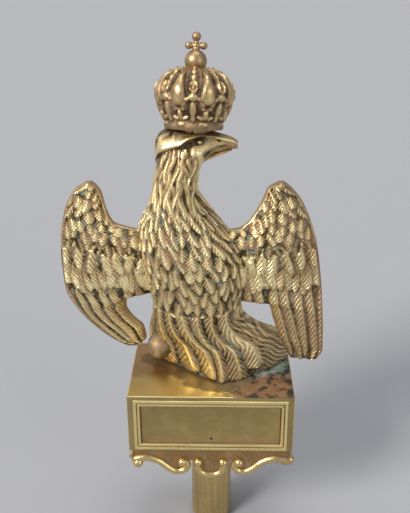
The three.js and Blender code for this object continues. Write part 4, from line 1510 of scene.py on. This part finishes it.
@dataclass
class Apron:
    """The apron under the plinth: a plate with four skirts, whose lower edges are scrolls with a rolled rim.

    Attributes:
        top: level of the plate's top, in millimetres.
        half_x: half the plate's length.
        half_y: half the plate's depth.
        plate: thickness of the plate.
        drop: how far the long skirts hang down.
        wall: thickness of a skirt.
        roll: radius of the rolled rim.
        corner: radius of the corner balls.
        side_share: drop of the short skirts as a share of the long ones'.
        corner_inset: from a corner inwards to its ball.
        corner_drop: a ball's depth as a share of the drop.
        notch_share: depth of the edge between cup and sweep, as a share of the drop.
        knob_out: how far the knobs' middles stand out of the skirt.
    """

    top: float
    half_x: float = 69.6
    half_y: float = 43.6
    plate: float = 3.2
    drop: float = 28.0
    wall: float = 3.0
    roll: float = 3.1
    corner: float = 4.802
    side_share: float = 0.86
    corner_inset: float = 3.0
    corner_drop: float = 0.45
    notch_share: float = 0.44
    knob_out: float = 0.8

    def edge(self, shares: list[tuple[float, float]], half: float, drop: float, count: int) -> Array:
        """Returns a smooth stretch of the right half of a skirt's edge, as x and z under the plate."""
        return curve_through([(x * half, -z * drop) for x, z in shares], count)

    def skirt(self, half: float, drop: float) -> bpy.types.Object:
        """Makes one skirt's plate, facing -y with its face in the plane y = 0, under the plane z = 0."""
        cup = self.edge(CUP, half, drop, 14)
        sweep = self.edge(SWEEP[1:-1], half, drop, 26)
        notch = -drop * self.notch_share
        edge = np.concatenate(
            [
                cup[cup[:, 0] < half * 0.165],
                [[half * x, notch] for x in (0.17, 0.235, 0.29)],
                sweep[sweep[:, 0] > half * 0.305],
                [[half, -drop * 0.4]],
            ]
        )
        edge = edge[np.argsort(edge[:, 0], kind="stable")]
        edge = edge[np.concatenate([[True], np.diff(edge[:, 0]) > 0.05])]
        edge = np.concatenate([mirrored(edge), edge])
        count = len(edge)
        points = []
        for y in (0.0, self.wall):
            points += [(x, y, 0.0) for x, _ in edge]
            points += [(x, y, z) for x, z in edge]
        top, low, back_top, back_low = 0, count, 2 * count, 3 * count
        faces = []
        for j in range(count - 1):
            faces.append((top + j, low + j, low + j + 1, top + j + 1))
            faces.append((back_top + j, back_top + j + 1, back_low + j + 1, back_low + j))
            faces.append((top + j, top + j + 1, back_top + j + 1, back_top + j))
            faces.append((low + j, back_low + j, back_low + j + 1, low + j + 1))
        for j in (0, count - 1):
            faces.append((top + j, back_top + j, back_low + j, low + j))
        return mesh_from("skirt", points, faces)

    def rim_lines(self, half: float, drop: float) -> tuple[list[Array], list[Array]]:
        """Returns the lines of one skirt's rolled rims, in its own plane, and their radii."""
        cup = self.edge(CUP, half, drop, 16)
        whole = np.concatenate([mirrored(cup), cup])
        share = np.linspace(-1, 1, len(whole))
        edges, sizes = [whole], [self.roll * (1 + 0.2 * np.abs(share) ** 6)]
        for hand in (-1, 1):
            sweep = self.edge(SWEEP, half, drop, 34)
            share = np.linspace(0, 1, len(sweep))
            edges.append(sweep * np.array([hand, 1]))
            sizes.append(self.roll * (0.95 + 0.3 * (1 - share) ** 8 + 0.35 * share**3))
        return [np.insert(edge, 1, 0.1 * self.roll, axis=1) for edge in edges], sizes

    def build(self, material: bpy.types.Material) -> bpy.types.Object:
        """Joins the plate, the skirts, the rolled rims, the knobs and the corner balls."""
        top, half_x, half_y = self.top, self.half_x, self.half_y
        whole = box_object("plate", (-half_x, -half_y, top - self.plate), (half_x, half_y, top))
        parts, lines, sizes, knobs, knob_sizes = [], [], [], [], []
        for turn in (0, 180, 90, -90):
            endwise = turn % 180 != 0
            half, reach = (half_y, half_x) if endwise else (half_x, half_y)
            drop = self.drop * (self.side_share if endwise else 1.0)
            place = Matrix.Rotation(math.radians(turn), 4, "Z") @ Matrix.Translation((0, -reach, 0))
            skirt = self.skirt(half, drop)
            raised = Matrix.Translation((0, 0, top * MM)) @ Matrix.Scale(MM, 4)
            skirt.data.transform(raised @ place @ Matrix.Scale(1 / MM, 4))
            parts.append(skirt)
            spin, offset = np.array(place.to_3x3()), np.array(place.translation) + np.array([0, 0, top])
            rims, rim_sizes = self.rim_lines(half, drop)
            lines += [rim @ spin.T + offset for rim in rims]
            sizes += rim_sizes
            knobs += [np.array([x * half, -self.knob_out, -z * drop]) @ spin.T + offset for x, z, _ in KNOBS]
            knob_sizes += [size * self.roll for _, _, size in KNOBS]
        for x in (-1, 1):
            for y in (-1, 1):
                place = (x * (half_x - self.corner_inset), y * (half_y - self.corner_inset))
                knobs.append(np.array([*place, top - self.drop * self.corner_drop]))
                knob_sizes.append(self.corner)
        parts += separate(run_rims("rims", lines, sizes, material))
        parts += separate(set_beads("knobs", np.array(knobs), knob_sizes, material))
        combine(whole, parts, Cut.UNION)
        combine(whole, [box_object("above", (-100, -80, top), (100, 80, top + 40))], Cut.DIFFERENCE)
        whole.name = "scroll_apron"
        self.mark(whole)
        return whole

    def mark(self, piece: bpy.types.Object) -> None:
        """Marks what stands proud of the skirts as smooth relief, for the finish."""
        mesh = piece.data
        places = np.empty(len(mesh.vertices) * 3)
        mesh.vertices.foreach_get("co", places)
        x, y, z = places.reshape(-1, 3).T / MM
        relief = smooth_step(0.15, 1.6, np.maximum(np.abs(x) - self.half_x, np.abs(y) - self.half_y))
        relief = np.maximum(relief, 0.3 * smooth_step(self.top - 0.9 * self.drop, self.top - self.drop, z))
        for name, value in {"relief": relief, "barb": 0 * x, "tone": 0 * x + 0.5, "smooth": relief}.items():
            store(mesh, name, value)


def mirrored(edge: Array) -> Array:
    """Returns the left half of an edge that is given from its middle to the right, without its middle."""
    return (edge[1:] * np.array([-1, 1]))[::-1]


def separate(piece: bpy.types.Object) -> list[bpy.types.Object]:
    """Parts a mesh into its loose closed bodies, each an object of its own, and removes the first object."""
    shape = bmesh.new()
    shape.from_mesh(piece.data)
    bmesh.ops.remove_doubles(shape, verts=shape.verts, dist=1e-6)
    left = set(shape.verts)
    bodies = []
    while left:
        start = left.pop()
        group, edge = {start}, [start]
        while edge:
            vertex = edge.pop()
            for link in vertex.link_edges:
                other = link.other_vert(vertex)
                if other not in group:
                    group.add(other)
                    edge.append(other)
        left -= group
        order = {vertex: i for i, vertex in enumerate(sorted(group, key=lambda v: v.index))}
        faces = {face for vertex in group for face in vertex.link_faces}
        points = [tuple(vertex.co / MM) for vertex in order]
        loops = [tuple(order[v] for v in face.verts) for face in sorted(faces, key=lambda f: f.index)]
        bodies.append((points, loops))
    shape.free()
    name = piece.name
    bpy.data.objects.remove(piece)
    return [mesh_from(f"{name}_{i}", points, loops) for i, (points, loops) in enumerate(bodies)]


# Socket


@dataclass
class Socket:
    """The tube that slips over the pole.

    Attributes:
        outside: its outer radius, in millimetres.
        length: its length.
        wall: its wall.
        lip: rounding of its ends.
        sides: points round it.
    """

    outside: float
    length: float
    wall: float = 2.0
    lip: float = 0.5
    sides: int = 96

    def build(self) -> bpy.types.Object:
        """Turns the tube's wall round the pole's axis."""
        outer, inner, lip = self.outside - self.lip, self.outside - self.wall + self.lip, self.lip
        top = self.length - lip
        levels = np.linspace(lip, top, 24)[1:-1]
        rise = np.linspace(0, math.pi / 2, 4)
        profile = [(outer + lip * math.sin(a), lip - lip * math.cos(a)) for a in rise]
        profile += [(self.outside, z) for z in levels]
        profile += [(outer + lip * math.cos(a), top + lip * math.sin(a)) for a in rise]
        profile += [(inner - lip * math.sin(a), top + lip * math.cos(a)) for a in rise]
        profile += [(self.outside - self.wall, z) for z in levels[::-1]]
        profile += [(inner - lip * math.cos(a), lip - lip * math.sin(a)) for a in rise]
        turns = np.linspace(0, 2 * math.pi, self.sides, endpoint=False)
        points = [(r * math.cos(a), r * math.sin(a), z) for r, z in profile for a in turns]
        faces = ring_faces(len(profile), self.sides, closed=True)
        return mesh_from("pole_socket", points, faces, merge=0.001)


# Finishes


class Value:
    """A number, colour or place in a material, held by a node's socket, that sums can be made with."""

    def __init__(self, wires: "Wires", socket: bpy.types.NodeSocket) -> None:
        """Keeps the socket and the wires that it belongs to."""
        self.wires = wires
        self.socket = socket

    def __add__(self, other: "Term") -> "Value":
        """Returns the sum."""
        return self.wires.math("ADD", self, other)

    def __sub__(self, other: "Term") -> "Value":
        """Returns the difference."""
        return self.wires.math("SUBTRACT", self, other)

    def __rsub__(self, other: "Term") -> "Value":
        """Returns what is left of another number."""
        return self.wires.math("SUBTRACT", other, self)

    def __mul__(self, other: "Term") -> "Value":
        """Returns the product."""
        return self.wires.math("MULTIPLY", self, other)


Term = Union[Value, float, tuple[float, ...]]


class Wires:
    """A short way to wire a material's nodes."""

    def __init__(self, name: str) -> None:
        """Starts a material with an empty node tree."""
        self.material = bpy.data.materials.new(name)
        self.material.use_nodes = True
        self.tree = self.material.node_tree
        self.tree.nodes.clear()

    def node(
        self, kind: str, inputs: dict[Union[str, int], Term], output: Union[str, int] = 0, **settings: object
    ) -> Value:
        """Adds a node.

        Args:
            kind: the node's type.
            inputs: links or values, by the names or numbers of its inputs.
            output: the name or number of its output.
            **settings: the node's own options.

        Returns:
            The output.
        """
        node = self.tree.nodes.new(kind)
        for name, value in settings.items():
            setattr(node, name, value)
        for name, value in inputs.items():
            self.put(node.inputs[name], value)
        return Value(self, node.outputs[output])

    def put(self, socket: bpy.types.NodeSocket, value: Term) -> None:
        """Links a socket to a value, or sets it."""
        if isinstance(value, Value):
            self.tree.links.new(value.socket, socket)
        elif isinstance(value, tuple) and socket.type == "RGBA":
            socket.default_value = (*value, 1.0)
        else:
            socket.default_value = value

    def object_place(self) -> Value:
        """Returns the place in the piece's own metres."""
        return self.node("ShaderNodeTexCoord", {}, "Object")

    def mark(self, name: str) -> Value:
        """Returns a number stored with the mesh."""
        return self.node("ShaderNodeAttribute", {}, "Fac", attribute_name=name)

    def noise(self, place: Value, scale: float, detail: float = 3.0, rough: float = 0.55) -> Value:
        """Returns a cloudy number from 0 to 1."""
        inputs = {"Vector": place, "Scale": scale, "Detail": detail, "Roughness": rough}
        return self.node("ShaderNodeTexNoise", inputs, "Fac")

    def cells(self, place: Value, scale: float) -> Value:
        """Returns the distance to the nearest of many scattered points."""
        return self.node("ShaderNodeTexVoronoi", {"Vector": place, "Scale": scale}, "Distance")

    def math(self, operation: str, a: Term, b: Term = 0.0, clamp: bool = False) -> Value:
        """Returns the result of one sum, kept between 0 and 1 where clamp says so."""
        return self.node("ShaderNodeMath", {0: a, 1: b}, operation=operation, use_clamp=clamp)

    def most(self, *values: Term) -> Value:
        """Returns the greatest of several numbers."""
        return reduce(lambda a, b: self.math("MAXIMUM", a, b), values)

    def span(self, value: Value, low: float, high: float, start: float = 0.0, end: float = 1.0) -> Value:
        """Eases a value from one range to another."""
        inputs = {"Value": value, "From Min": low, "From Max": high, "To Min": start, "To Max": end}
        return self.node("ShaderNodeMapRange", inputs, "Result", interpolation_type="SMOOTHSTEP")

    def blend(self, share: Value, low: Term, high: Term) -> Value:
        """Mixes two colours."""
        return self.node("ShaderNodeMix", {0: share, 6: low, 7: high}, 2, data_type="RGBA")

    def vector(self, operation: str, place: Value, other: Colour, output: str = "Vector") -> Value:
        """Returns the result of one sum with places."""
        return self.node("ShaderNodeVectorMath", {0: place, 1: other}, output, operation=operation)

    def near(self, place: Value, centre: Colour, reach: Colour, ragged: Term) -> Value:
        """Returns 1 inside an egg-shaped zone with a ragged edge and 0 outside.

        Args:
            place: the place.
            centre: the zone's middle in metres.
            reach: its half sizes in metres.
            ragged: a cloudy number that moves its edge.

        Returns:
            A number from 0 to 1.
        """
        scaled = self.vector("MULTIPLY", self.vector("SUBTRACT", place, centre), tuple(1.0 / r for r in reach))
        length = self.vector("LENGTH", scaled, (0.0, 0.0, 0.0), "Value")
        return self.span(length + self.math("MULTIPLY", ragged, 1.1), 1.75, 1.3)

    def parts(self, place: Value) -> tuple[Value, ...]:
        """Returns x, y and z of a place."""
        first = self.node("ShaderNodeSeparateXYZ", {0: place})
        return tuple(Value(self, output) for output in first.socket.node.outputs)

    def finish(
        self, colour: Value, rough: Term, metal: Term, heights: list[tuple[Value, float, float]]
    ) -> bpy.types.Material:
        """Ends the material with its shader.

        Args:
            colour: the base colour.
            rough: the roughness.
            metal: 1 for bare metal, less for its crust.
            heights: bump heights as value, depth in metres and strength.

        Returns:
            The material.
        """
        look: dict[Union[str, int], Term] = {"Base Color": colour, "Roughness": rough, "Metallic": metal}
        for value, depth, strength in heights:
            bump_inputs = {"Distance": depth, "Strength": strength, "Height": value}
            if "Normal" in look:
                bump_inputs["Normal"] = look["Normal"]
            look["Normal"] = self.node("ShaderNodeBump", bump_inputs, "Normal")
        shader = self.node("ShaderNodeBsdfPrincipled", look, "BSDF")
        self.put(self.tree.nodes.new("ShaderNodeOutputMaterial").inputs["Surface"], shader)
        return self.material


@dataclass(frozen=True)
class CastBrass:
    """Cast brass with bright crests, brown fields, coppery patches and grey green in its hollows; the crests
    also carry a painted highlight, and the hollows, the barbs' grooves and the right side carry painted shade.

    Attributes:
        name: the material's name.
        crest: colour of the rubbed high places, also a painted highlight.
        field: colour of the common surface.
        hollow: colour of the deep places, dark patina with painted shade, and of the dark specks.
        copper: colour of the coppery patches.
        crust: colour of the grey-green crust.
        brown: colour that the metal is laid darker to on the right, a painted shade.
        right_shade: how far the painted shade darkens it there, from 0 to 1.
        copper_share: how much of the surface the copper takes, from 0 to 1.
        crust_share: how much of the hollows the crust takes.
        gloss: roughness of the crests.
        dull: roughness of the hollows.
    """

    name: str
    crest: Colour = (0.95, 0.79, 0.44)
    field: Colour = (0.51, 0.365, 0.165)
    hollow: Colour = (0.08, 0.058, 0.03)
    copper: Colour = (0.46, 0.285, 0.18)
    crust: Colour = (0.27, 0.31, 0.235)
    brown: Colour = (0.33, 0.21, 0.11)
    right_shade: float = 0.45
    copper_share: float = 0.4
    crust_share: float = 0.45
    gloss: float = 0.33
    dull: float = 0.6

    def material(self) -> bpy.types.Material:
        """Builds the material."""
        wires = Wires(self.name)
        place = wires.object_place()
        relief, smooth, tone, barb = (wires.mark(name) for name in ("relief", "smooth", "tone", "barb"))
        barbed = wires.math("COSINE", wires.mark("phase") * (2 * math.pi)) * -0.5 * barb
        broad = wires.noise(place, 28.0, 2.0)
        patch = wires.noise(place, 95.0, 4.0, 0.6)
        grain = wires.noise(place, 620.0, 3.0, 0.65)
        speck = wires.noise(place, 1900.0, 2.0, 0.6)
        # Painted shade and highlight: the level from the relief lays the hollows and the barbs' grooves darker,
        # over dark patina, and the crests brighter, over rubbed metal.
        level = relief + (grain - 0.5) * 0.55 + (tone - 0.5) * 0.22 + barbed * 0.2
        low = wires.blend(wires.span(level, 0.16, 0.5), self.hollow, self.field)
        colour = wires.blend(wires.span(level, 0.46, 0.88), low, self.crest)
        reddish = wires.span(patch, 0.46, 0.62) * wires.span(broad, 0.25, 0.6) * wires.span(level, 1.0, 0.4)
        reddish = wires.math("MULTIPLY", reddish, 2.0 * self.copper_share, clamp=True)
        colour = wires.blend(reddish, colour, self.copper)
        crusty = wires.span(wires.noise(place, 150.0, 5.0, 0.7), 0.5, 0.6) * wires.span(level, 0.6, 0.3)
        crusty = wires.math("MULTIPLY", crusty, 1.6 * self.crust_share, clamp=True)
        colour = wires.blend(crusty, colour, self.crust)
        colour = wires.blend(wires.span(smooth, 0.8, 1.0) * 0.22, colour, self.copper)
        colour = wires.blend(wires.span(speck, 0.6, 0.75) * 0.4, colour, self.hollow)
        # Painted shade: the metal is laid darker towards the right side.
        aside = wires.parts(place)[0]
        colour = wires.blend(wires.span(aside, 0.03, 0.09, 0.0, self.right_shade), colour, self.brown)
        rough = wires.span(level, 0.25, 0.9, self.dull, self.gloss) + (grain - 0.5) * 0.22
        rubbed = grain * (1.0 - smooth * 0.75)
        heights = [(barbed, 0.0008, 0.55), (rubbed, 0.0010, 0.55), (speck, 0.00025, 0.3)]
        return wires.finish(colour, wires.most(rough, crusty * 0.7), 1.0 - crusty * 0.7, heights)


@dataclass(frozen=True)
class PlinthBrass:
    """Sheet brass with a painted highlight on its beads, a browned panel, a stained, crusted top, a painted
    sheen at the front of the top and a painted shadow along the eagle's foot.

    Attributes:
        box_low: the plinth's lowest corner in metres.
        box_high: its highest corner in metres.
        bright: colour of clean metal, also the painted sheen at the front of the top.
        bead: colour of the beads' crests, a painted highlight.
        aged: colour of dulled metal.
        panel: colour of the sunk panels.
        pink: colour of the panels' edges.
        orange: colour of the rusty flakes on the top.
        stain: colour of the stain at the top's far left.
        verdigris: colour of the crust behind the flakes.
        pale: colour of its palest flakes.
        groove: colour laid in the frame beside the beads, and of the painted shadow along the eagle's foot.
        black: colour of the darkest flakes and of the pits.
        foot_shadow_line: places along the eagle's foot where the painted shadow lies, in metres.
        pit: place of the large pit in the front panel, in metres.
    """

    box_low: Vector
    box_high: Vector
    bright: Colour = (0.84, 0.68, 0.31)
    bead: Colour = (0.95, 0.77, 0.36)
    aged: Colour = (0.47, 0.36, 0.15)
    panel: Colour = (0.40, 0.30, 0.118)
    pink: Colour = (0.46, 0.29, 0.17)
    orange: Colour = (0.28, 0.115, 0.035)
    stain: Colour = (0.54, 0.29, 0.13)
    verdigris: Colour = (0.15, 0.20, 0.16)
    pale: Colour = (0.34, 0.35, 0.28)
    groove: Colour = (0.20, 0.135, 0.065)
    black: Colour = (0.03, 0.026, 0.02)
    foot_shadow_line: tuple[tuple[float, float], ...] = (
        (-0.050, 0.018), (-0.040, 0.012), (-0.030, 0.0), (-0.018, -0.009), (-0.008, -0.020), (0.005, -0.026),
        (0.020, -0.020),
    )
    pit: tuple[float, float] = (0.0005, 0.1155)

    def material(self) -> bpy.types.Material:
        """Builds the material."""
        wires = Wires("plinth_brass")
        place = wires.object_place()
        x, y, z = wires.parts(place)
        broad = wires.noise(place, 22.0, 3.0, 0.6)
        patch = wires.noise(place, 85.0, 5.0, 0.65)
        grain = wires.noise(place, 520.0, 4.0, 0.65)
        brushed = wires.noise(wires.vector("MULTIPLY", place, (60.0, 60.0, 900.0)), 1.0, 3.0, 0.6)
        flakes = wires.noise(place, 95.0, 6.0, 0.68)
        ragged = (patch - 0.5) * 1.4
        top, low = self.box_high, self.box_low
        on_top = wires.span(z, top.z - 0.0006, top.z - 0.0001)

        def zone(middle: tuple[float, float], reach: tuple[float, float]) -> Value:
            """Returns a ragged zone on the plinth's top."""
            return wires.near(place, (*middle, top.z), (*reach, 0.02), ragged) * on_top

        side_x, side_y = wires.math("ABSOLUTE", x), wires.math("ABSOLUTE", y)
        past_x, past_y = side_x - top.x, side_y - top.y
        proud = wires.most(past_x, past_y)
        rise = wires.span(proud, -0.0010, -0.0002)
        inside = wires.span(proud, -0.0028, -0.0034) * (1.0 - on_top)
        groove = wires.span(proud, -0.0008, -0.0018) * (1.0 - on_top)
        colour = wires.blend(wires.span(broad, 0.35, 0.65) * 0.5, self.aged, self.bright)
        colour = wires.blend(groove * 0.75, colour, self.groove)
        # Painted highlight: the beads' crests are laid in a bright colour.
        colour = wires.blend(rise * 0.95, colour, self.bead)

        endwise = wires.math("GREATER_THAN", past_x, past_y)
        near_edge = wires.most(
            wires.span(side_y, top.y - 0.017, top.y - 0.011) * endwise,
            wires.span(side_x, top.x - 0.017, top.x - 0.011) * (1.0 - endwise),
            wires.span(z, low.z + 0.014, low.z + 0.008),
            wires.span(z, top.z - 0.016, top.z - 0.010),
        )
        panel = wires.blend(wires.span(patch, 0.42, 0.7), self.panel, self.aged)
        panel = wires.blend(near_edge * wires.span(patch, 0.3, 0.65), panel, self.pink)
        colour = wires.blend(inside, colour, panel)

        # Painted sheen: the front of the top is laid brighter.
        colour = wires.blend(zone((-0.03, -0.042), (0.06, 0.022)) * 0.8, colour, self.bright)
        colour = wires.blend(zone((-0.062, 0.030), (0.040, 0.030)) * 0.75, colour, self.stain)
        crust = zone((0.062, 0.0), (0.036, 0.034))
        rusty = zone((0.064, -0.033), (0.032, 0.015)) * 0.85
        rust_tone = wires.blend(wires.span(flakes, 0.4, 0.53), self.black, self.orange)
        rust_tone = wires.blend(wires.span(flakes, 0.53, 0.66), rust_tone, self.groove)
        crust_tone = wires.blend(wires.span(flakes, 0.4, 0.52), self.black, self.verdigris)
        crust_tone = wires.blend(wires.span(flakes, 0.55, 0.66), crust_tone, self.pale)
        colour = wires.blend(crust, colour, crust_tone)
        colour = wires.blend(rusty, colour, rust_tone)
        # Painted shadow: a dark ragged band on the top along the eagle's foot.
        foot = wires.most(*(zone(middle, (0.011, 0.008)) for middle in self.foot_shadow_line))
        colour = wires.blend(foot * 0.8, colour, self.groove)
        colour = wires.blend(wires.span(wires.cells(place, 65.0), 0.09, 0.04) * 0.5, colour, self.black)
        pit = wires.near(place, (self.pit[0], low.y, self.pit[1]), (0.0009, 0.01, 0.0009), 0.0)
        colour = wires.blend(pit * 0.8, colour, self.black)

        crusted = wires.most(crust, rusty)
        rough = wires.span(broad, 0.3, 0.7, 0.44, 0.33) + foot * 0.2 - rise * 0.1
        rough = wires.most(rough + (grain - 0.5) * 0.2 + inside * 0.12, crusted * 0.7)
        heights = [(broad, 0.0012, 0.25), (brushed, 0.00012, 0.25), (grain, 0.00018, 0.3)]
        heights.append((flakes * crusted, 0.0012, 0.8))
        return wires.finish(colour, rough, 1.0 - crusted * 0.75, heights)


@dataclass(frozen=True)
class TubeBrass:
    """Drawn brass tube, browned, with streaks along it.

    Attributes:
        light: colour of the brighter streaks.
        brown: colour of the darker streaks and clouds.
        dark: colour of the specks.
    """

    light: Colour = (0.74, 0.56, 0.25)
    brown: Colour = (0.54, 0.385, 0.165)
    dark: Colour = (0.10, 0.07, 0.035)

    def material(self) -> bpy.types.Material:
        """Builds the material."""
        wires = Wires("tube_brass")
        place = wires.object_place()
        streak = wires.noise(wires.vector("MULTIPLY", place, (260.0, 260.0, 9.0)), 1.0, 4.0, 0.6)
        cloud = wires.noise(place, 60.0, 4.0, 0.6)
        grain = wires.noise(place, 700.0, 3.0, 0.6)
        colour = wires.blend(wires.span(streak, 0.32, 0.68), self.brown, self.light)
        colour = wires.blend(wires.span(cloud, 0.5, 0.72) * 0.5, colour, self.brown)
        colour = wires.blend(wires.span(grain, 0.62, 0.74) * 0.5, colour, self.dark)
        rough = wires.span(streak, 0.3, 0.7, 0.36, 0.24) + (grain - 0.5) * 0.15
        return wires.finish(colour, rough, 1.0, [(streak, 0.0002, 0.12), (grain, 0.00012, 0.2)])


@dataclass(frozen=True)
class PaleFloor:
    """The plain pale studio floor, of one tone with the faintest cloud."""

    tone: Colour = (0.375, 0.378, 0.395)

    def material(self) -> bpy.types.Material:
        """Builds the material."""
        wires = Wires("pale_floor")
        cloud = wires.noise(wires.object_place(), 3.0, 2.0)
        darker = tuple(0.985 * value for value in self.tone)
        return wires.finish(wires.blend(cloud, self.tone, darker), 0.9, 0.0, [(cloud, 0.0001, 0.1)])


# Studio


@dataclass
class Studio:
    """The camera at the photograph's viewing angle, soft lights and a pale floor.

    Attributes:
        focal: focal length in pixels of the 410 by 513 frame.
        frame_height: the frame's height in pixels.
        eye: the camera's place, in millimetres.
        pitch: how far it looks down, in degrees.
        yaw: how far it is turned to the right.
        roll: its roll.
        floor_level: height of the floor, in millimetres.
        floor_reach: half the floor's width, in metres.
    """

    focal: float = 750.0
    frame_height: float = 513.0
    eye: tuple[float, float, float] = (7.98, -587.06, 527.64)
    pitch: float = 23.54
    yaw: float = -1.295
    roll: float = -0.231
    floor_level: float = -3.0
    floor_reach: float = 60.0

    def camera(self) -> None:
        """Makes the scene's camera."""
        pitch, yaw, roll = (math.radians(value) for value in (self.pitch, self.yaw, self.roll))
        ahead = Vector((math.sin(yaw) * math.cos(pitch), math.cos(yaw) * math.cos(pitch), -math.sin(pitch)))
        right = Vector((math.cos(yaw), -math.sin(yaw), 0.0))
        up = right.cross(ahead)
        right, up = right * math.cos(roll) + up * math.sin(roll), up * math.cos(roll) - right * math.sin(roll)
        data = bpy.data.cameras.new("studio_camera")
        data.sensor_width = 36.0
        data.lens = self.focal * data.sensor_width / self.frame_height
        data.clip_start, data.clip_end = 0.01, 200.0
        camera = show("studio_camera", data)
        turn = Matrix((right, up, -ahead)).transposed().to_4x4()
        camera.matrix_world = Matrix.Translation(Vector(self.eye) * MM) @ turn
        bpy.context.scene.camera = camera

    def light(self, name: str, place: Colour, spread: float, power: float, tint: Colour) -> None:
        """Sets one soft light that shines evenly over the whole floor.

        Args:
            name: the light's name.
            place: the direction it comes from.
            spread: how wide it looks from the finial, in degrees.
            power: its power in watts for each square metre of what it shines on.
            tint: its colour.
        """
        data = bpy.data.lights.new(name, "SUN")
        data.angle = math.radians(spread)
        data.energy = power
        data.color = tint
        lamp = show(name, data)
        lamp.location = place
        lamp.rotation_euler = (-Vector(place)).to_track_quat("-Z", "Y").to_euler()

    def build(self) -> None:
        """Builds camera, lights, sky and floor."""
        self.camera()
        scene = bpy.context.scene
        scene.view_settings.view_transform = "Standard"
        world = bpy.data.worlds.new("studio")
        world.use_nodes = True
        sky = world.node_tree.nodes["Background"]
        sky.inputs["Color"].default_value = (0.82, 0.84, 0.90, 1.0)
        sky.inputs["Strength"].default_value = 0.44
        scene.world = world
        self.light("key", (-0.88, -0.85, 0.78), 19.0, 2.9, (1.0, 0.98, 0.94))
        self.light("fill", (0.9, -0.9, 0.42), 34.0, 0.55, (0.98, 0.99, 1.0))
        self.light("top_light", (0.05, 0.1, 1.2), 34.0, 0.95, (1.0, 1.0, 1.0))
        self.light("rim", (-0.8, 0.6, 0.35), 50.0, 0.3, (1.0, 1.0, 1.0))
        reach = self.floor_reach / MM
        corners = [(-reach, -reach), (reach, -reach), (reach, reach), (-reach, reach)]
        floor = mesh_from("studio_floor", [(*corner, self.floor_level) for corner in corners], [(0, 1, 2, 3)])
        floor.data.materials.append(PaleFloor().material())
        if floor.data.polygons[0].normal.z < 0:
            floor.data.flip_normals()


def dress(piece: bpy.types.Object, material: bpy.types.Material, node: str, sharp_angle: float) -> None:
    """Gives a finished piece its material and hands it to the frame.

    Args:
        piece: the piece, at the origin.
        material: its finish.
        node: the part's node that it stands for.
        sharp_angle: the angle in degrees above which an edge stays sharp.
    """
    mesh = piece.data
    mesh.materials.clear()
    mesh.materials.append(material)
    for face in mesh.polygons:
        face.material_index = 0
    mesh.shade_smooth()
    mesh.set_sharp_from_angle(angle=math.radians(sharp_angle))
    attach(piece, "root")
    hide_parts(node)
    mesh.calc_loop_triangles()
    log.info("%s: %d triangles", piece.name, len(mesh.loop_triangles))


def main() -> None:
    """Builds the finial's pieces in order, and the studio round them."""
    logging.basicConfig(level=logging.INFO, format="%(name)s: %(message)s")
    boxes = {node: [np.array(corner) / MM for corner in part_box(node)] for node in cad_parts}
    Studio().build()
    log.info("studio built")

    socket = Socket(outside=boxes["socket"][1][0], length=boxes["socket"][1][2])
    dress(socket.build(), TubeBrass().material(), "socket", 40.0)

    apron_finish = CastBrass(
        "apron_brass", crest=(0.82, 0.64, 0.28), field=(0.48, 0.31, 0.14), hollow=(0.34, 0.21, 0.095),
        copper=(0.47, 0.28, 0.12), gloss=0.27, crust_share=0.16,
    ).material()
    dress(Apron(top=boxes["apron"][1][2]).build(apron_finish), apron_finish, "apron", 50.0)

    low, high = (Vector(corner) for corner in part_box("plinth"))
    dress(Plinth(*boxes["plinth"]).build(), PlinthBrass(low, high).material(), "plinth", 35.0)

    eagle_base = boxes["eagle"][0][2]
    seat = CrownPlace(x=Eagle.shift + CROWN_SHIFT, z=eagle_base + CROWN_LEVEL)
    eagle = Eagle(crown_place=seat, base=eagle_base)
    dress(eagle.build(), CastBrass("eagle_brass").material(), "eagle", 60.0)

    crown_finish = CastBrass(
        "crown_brass", crest=(0.68, 0.50, 0.245), field=(0.34, 0.235, 0.12), hollow=(0.11, 0.065, 0.04),
        gloss=0.3, crust_share=0.12,
    ).material()
    dress(Crown(place=seat).build(crown_finish), crown_finish, "crown", 60.0)


if __name__ == "__main__":
    main()
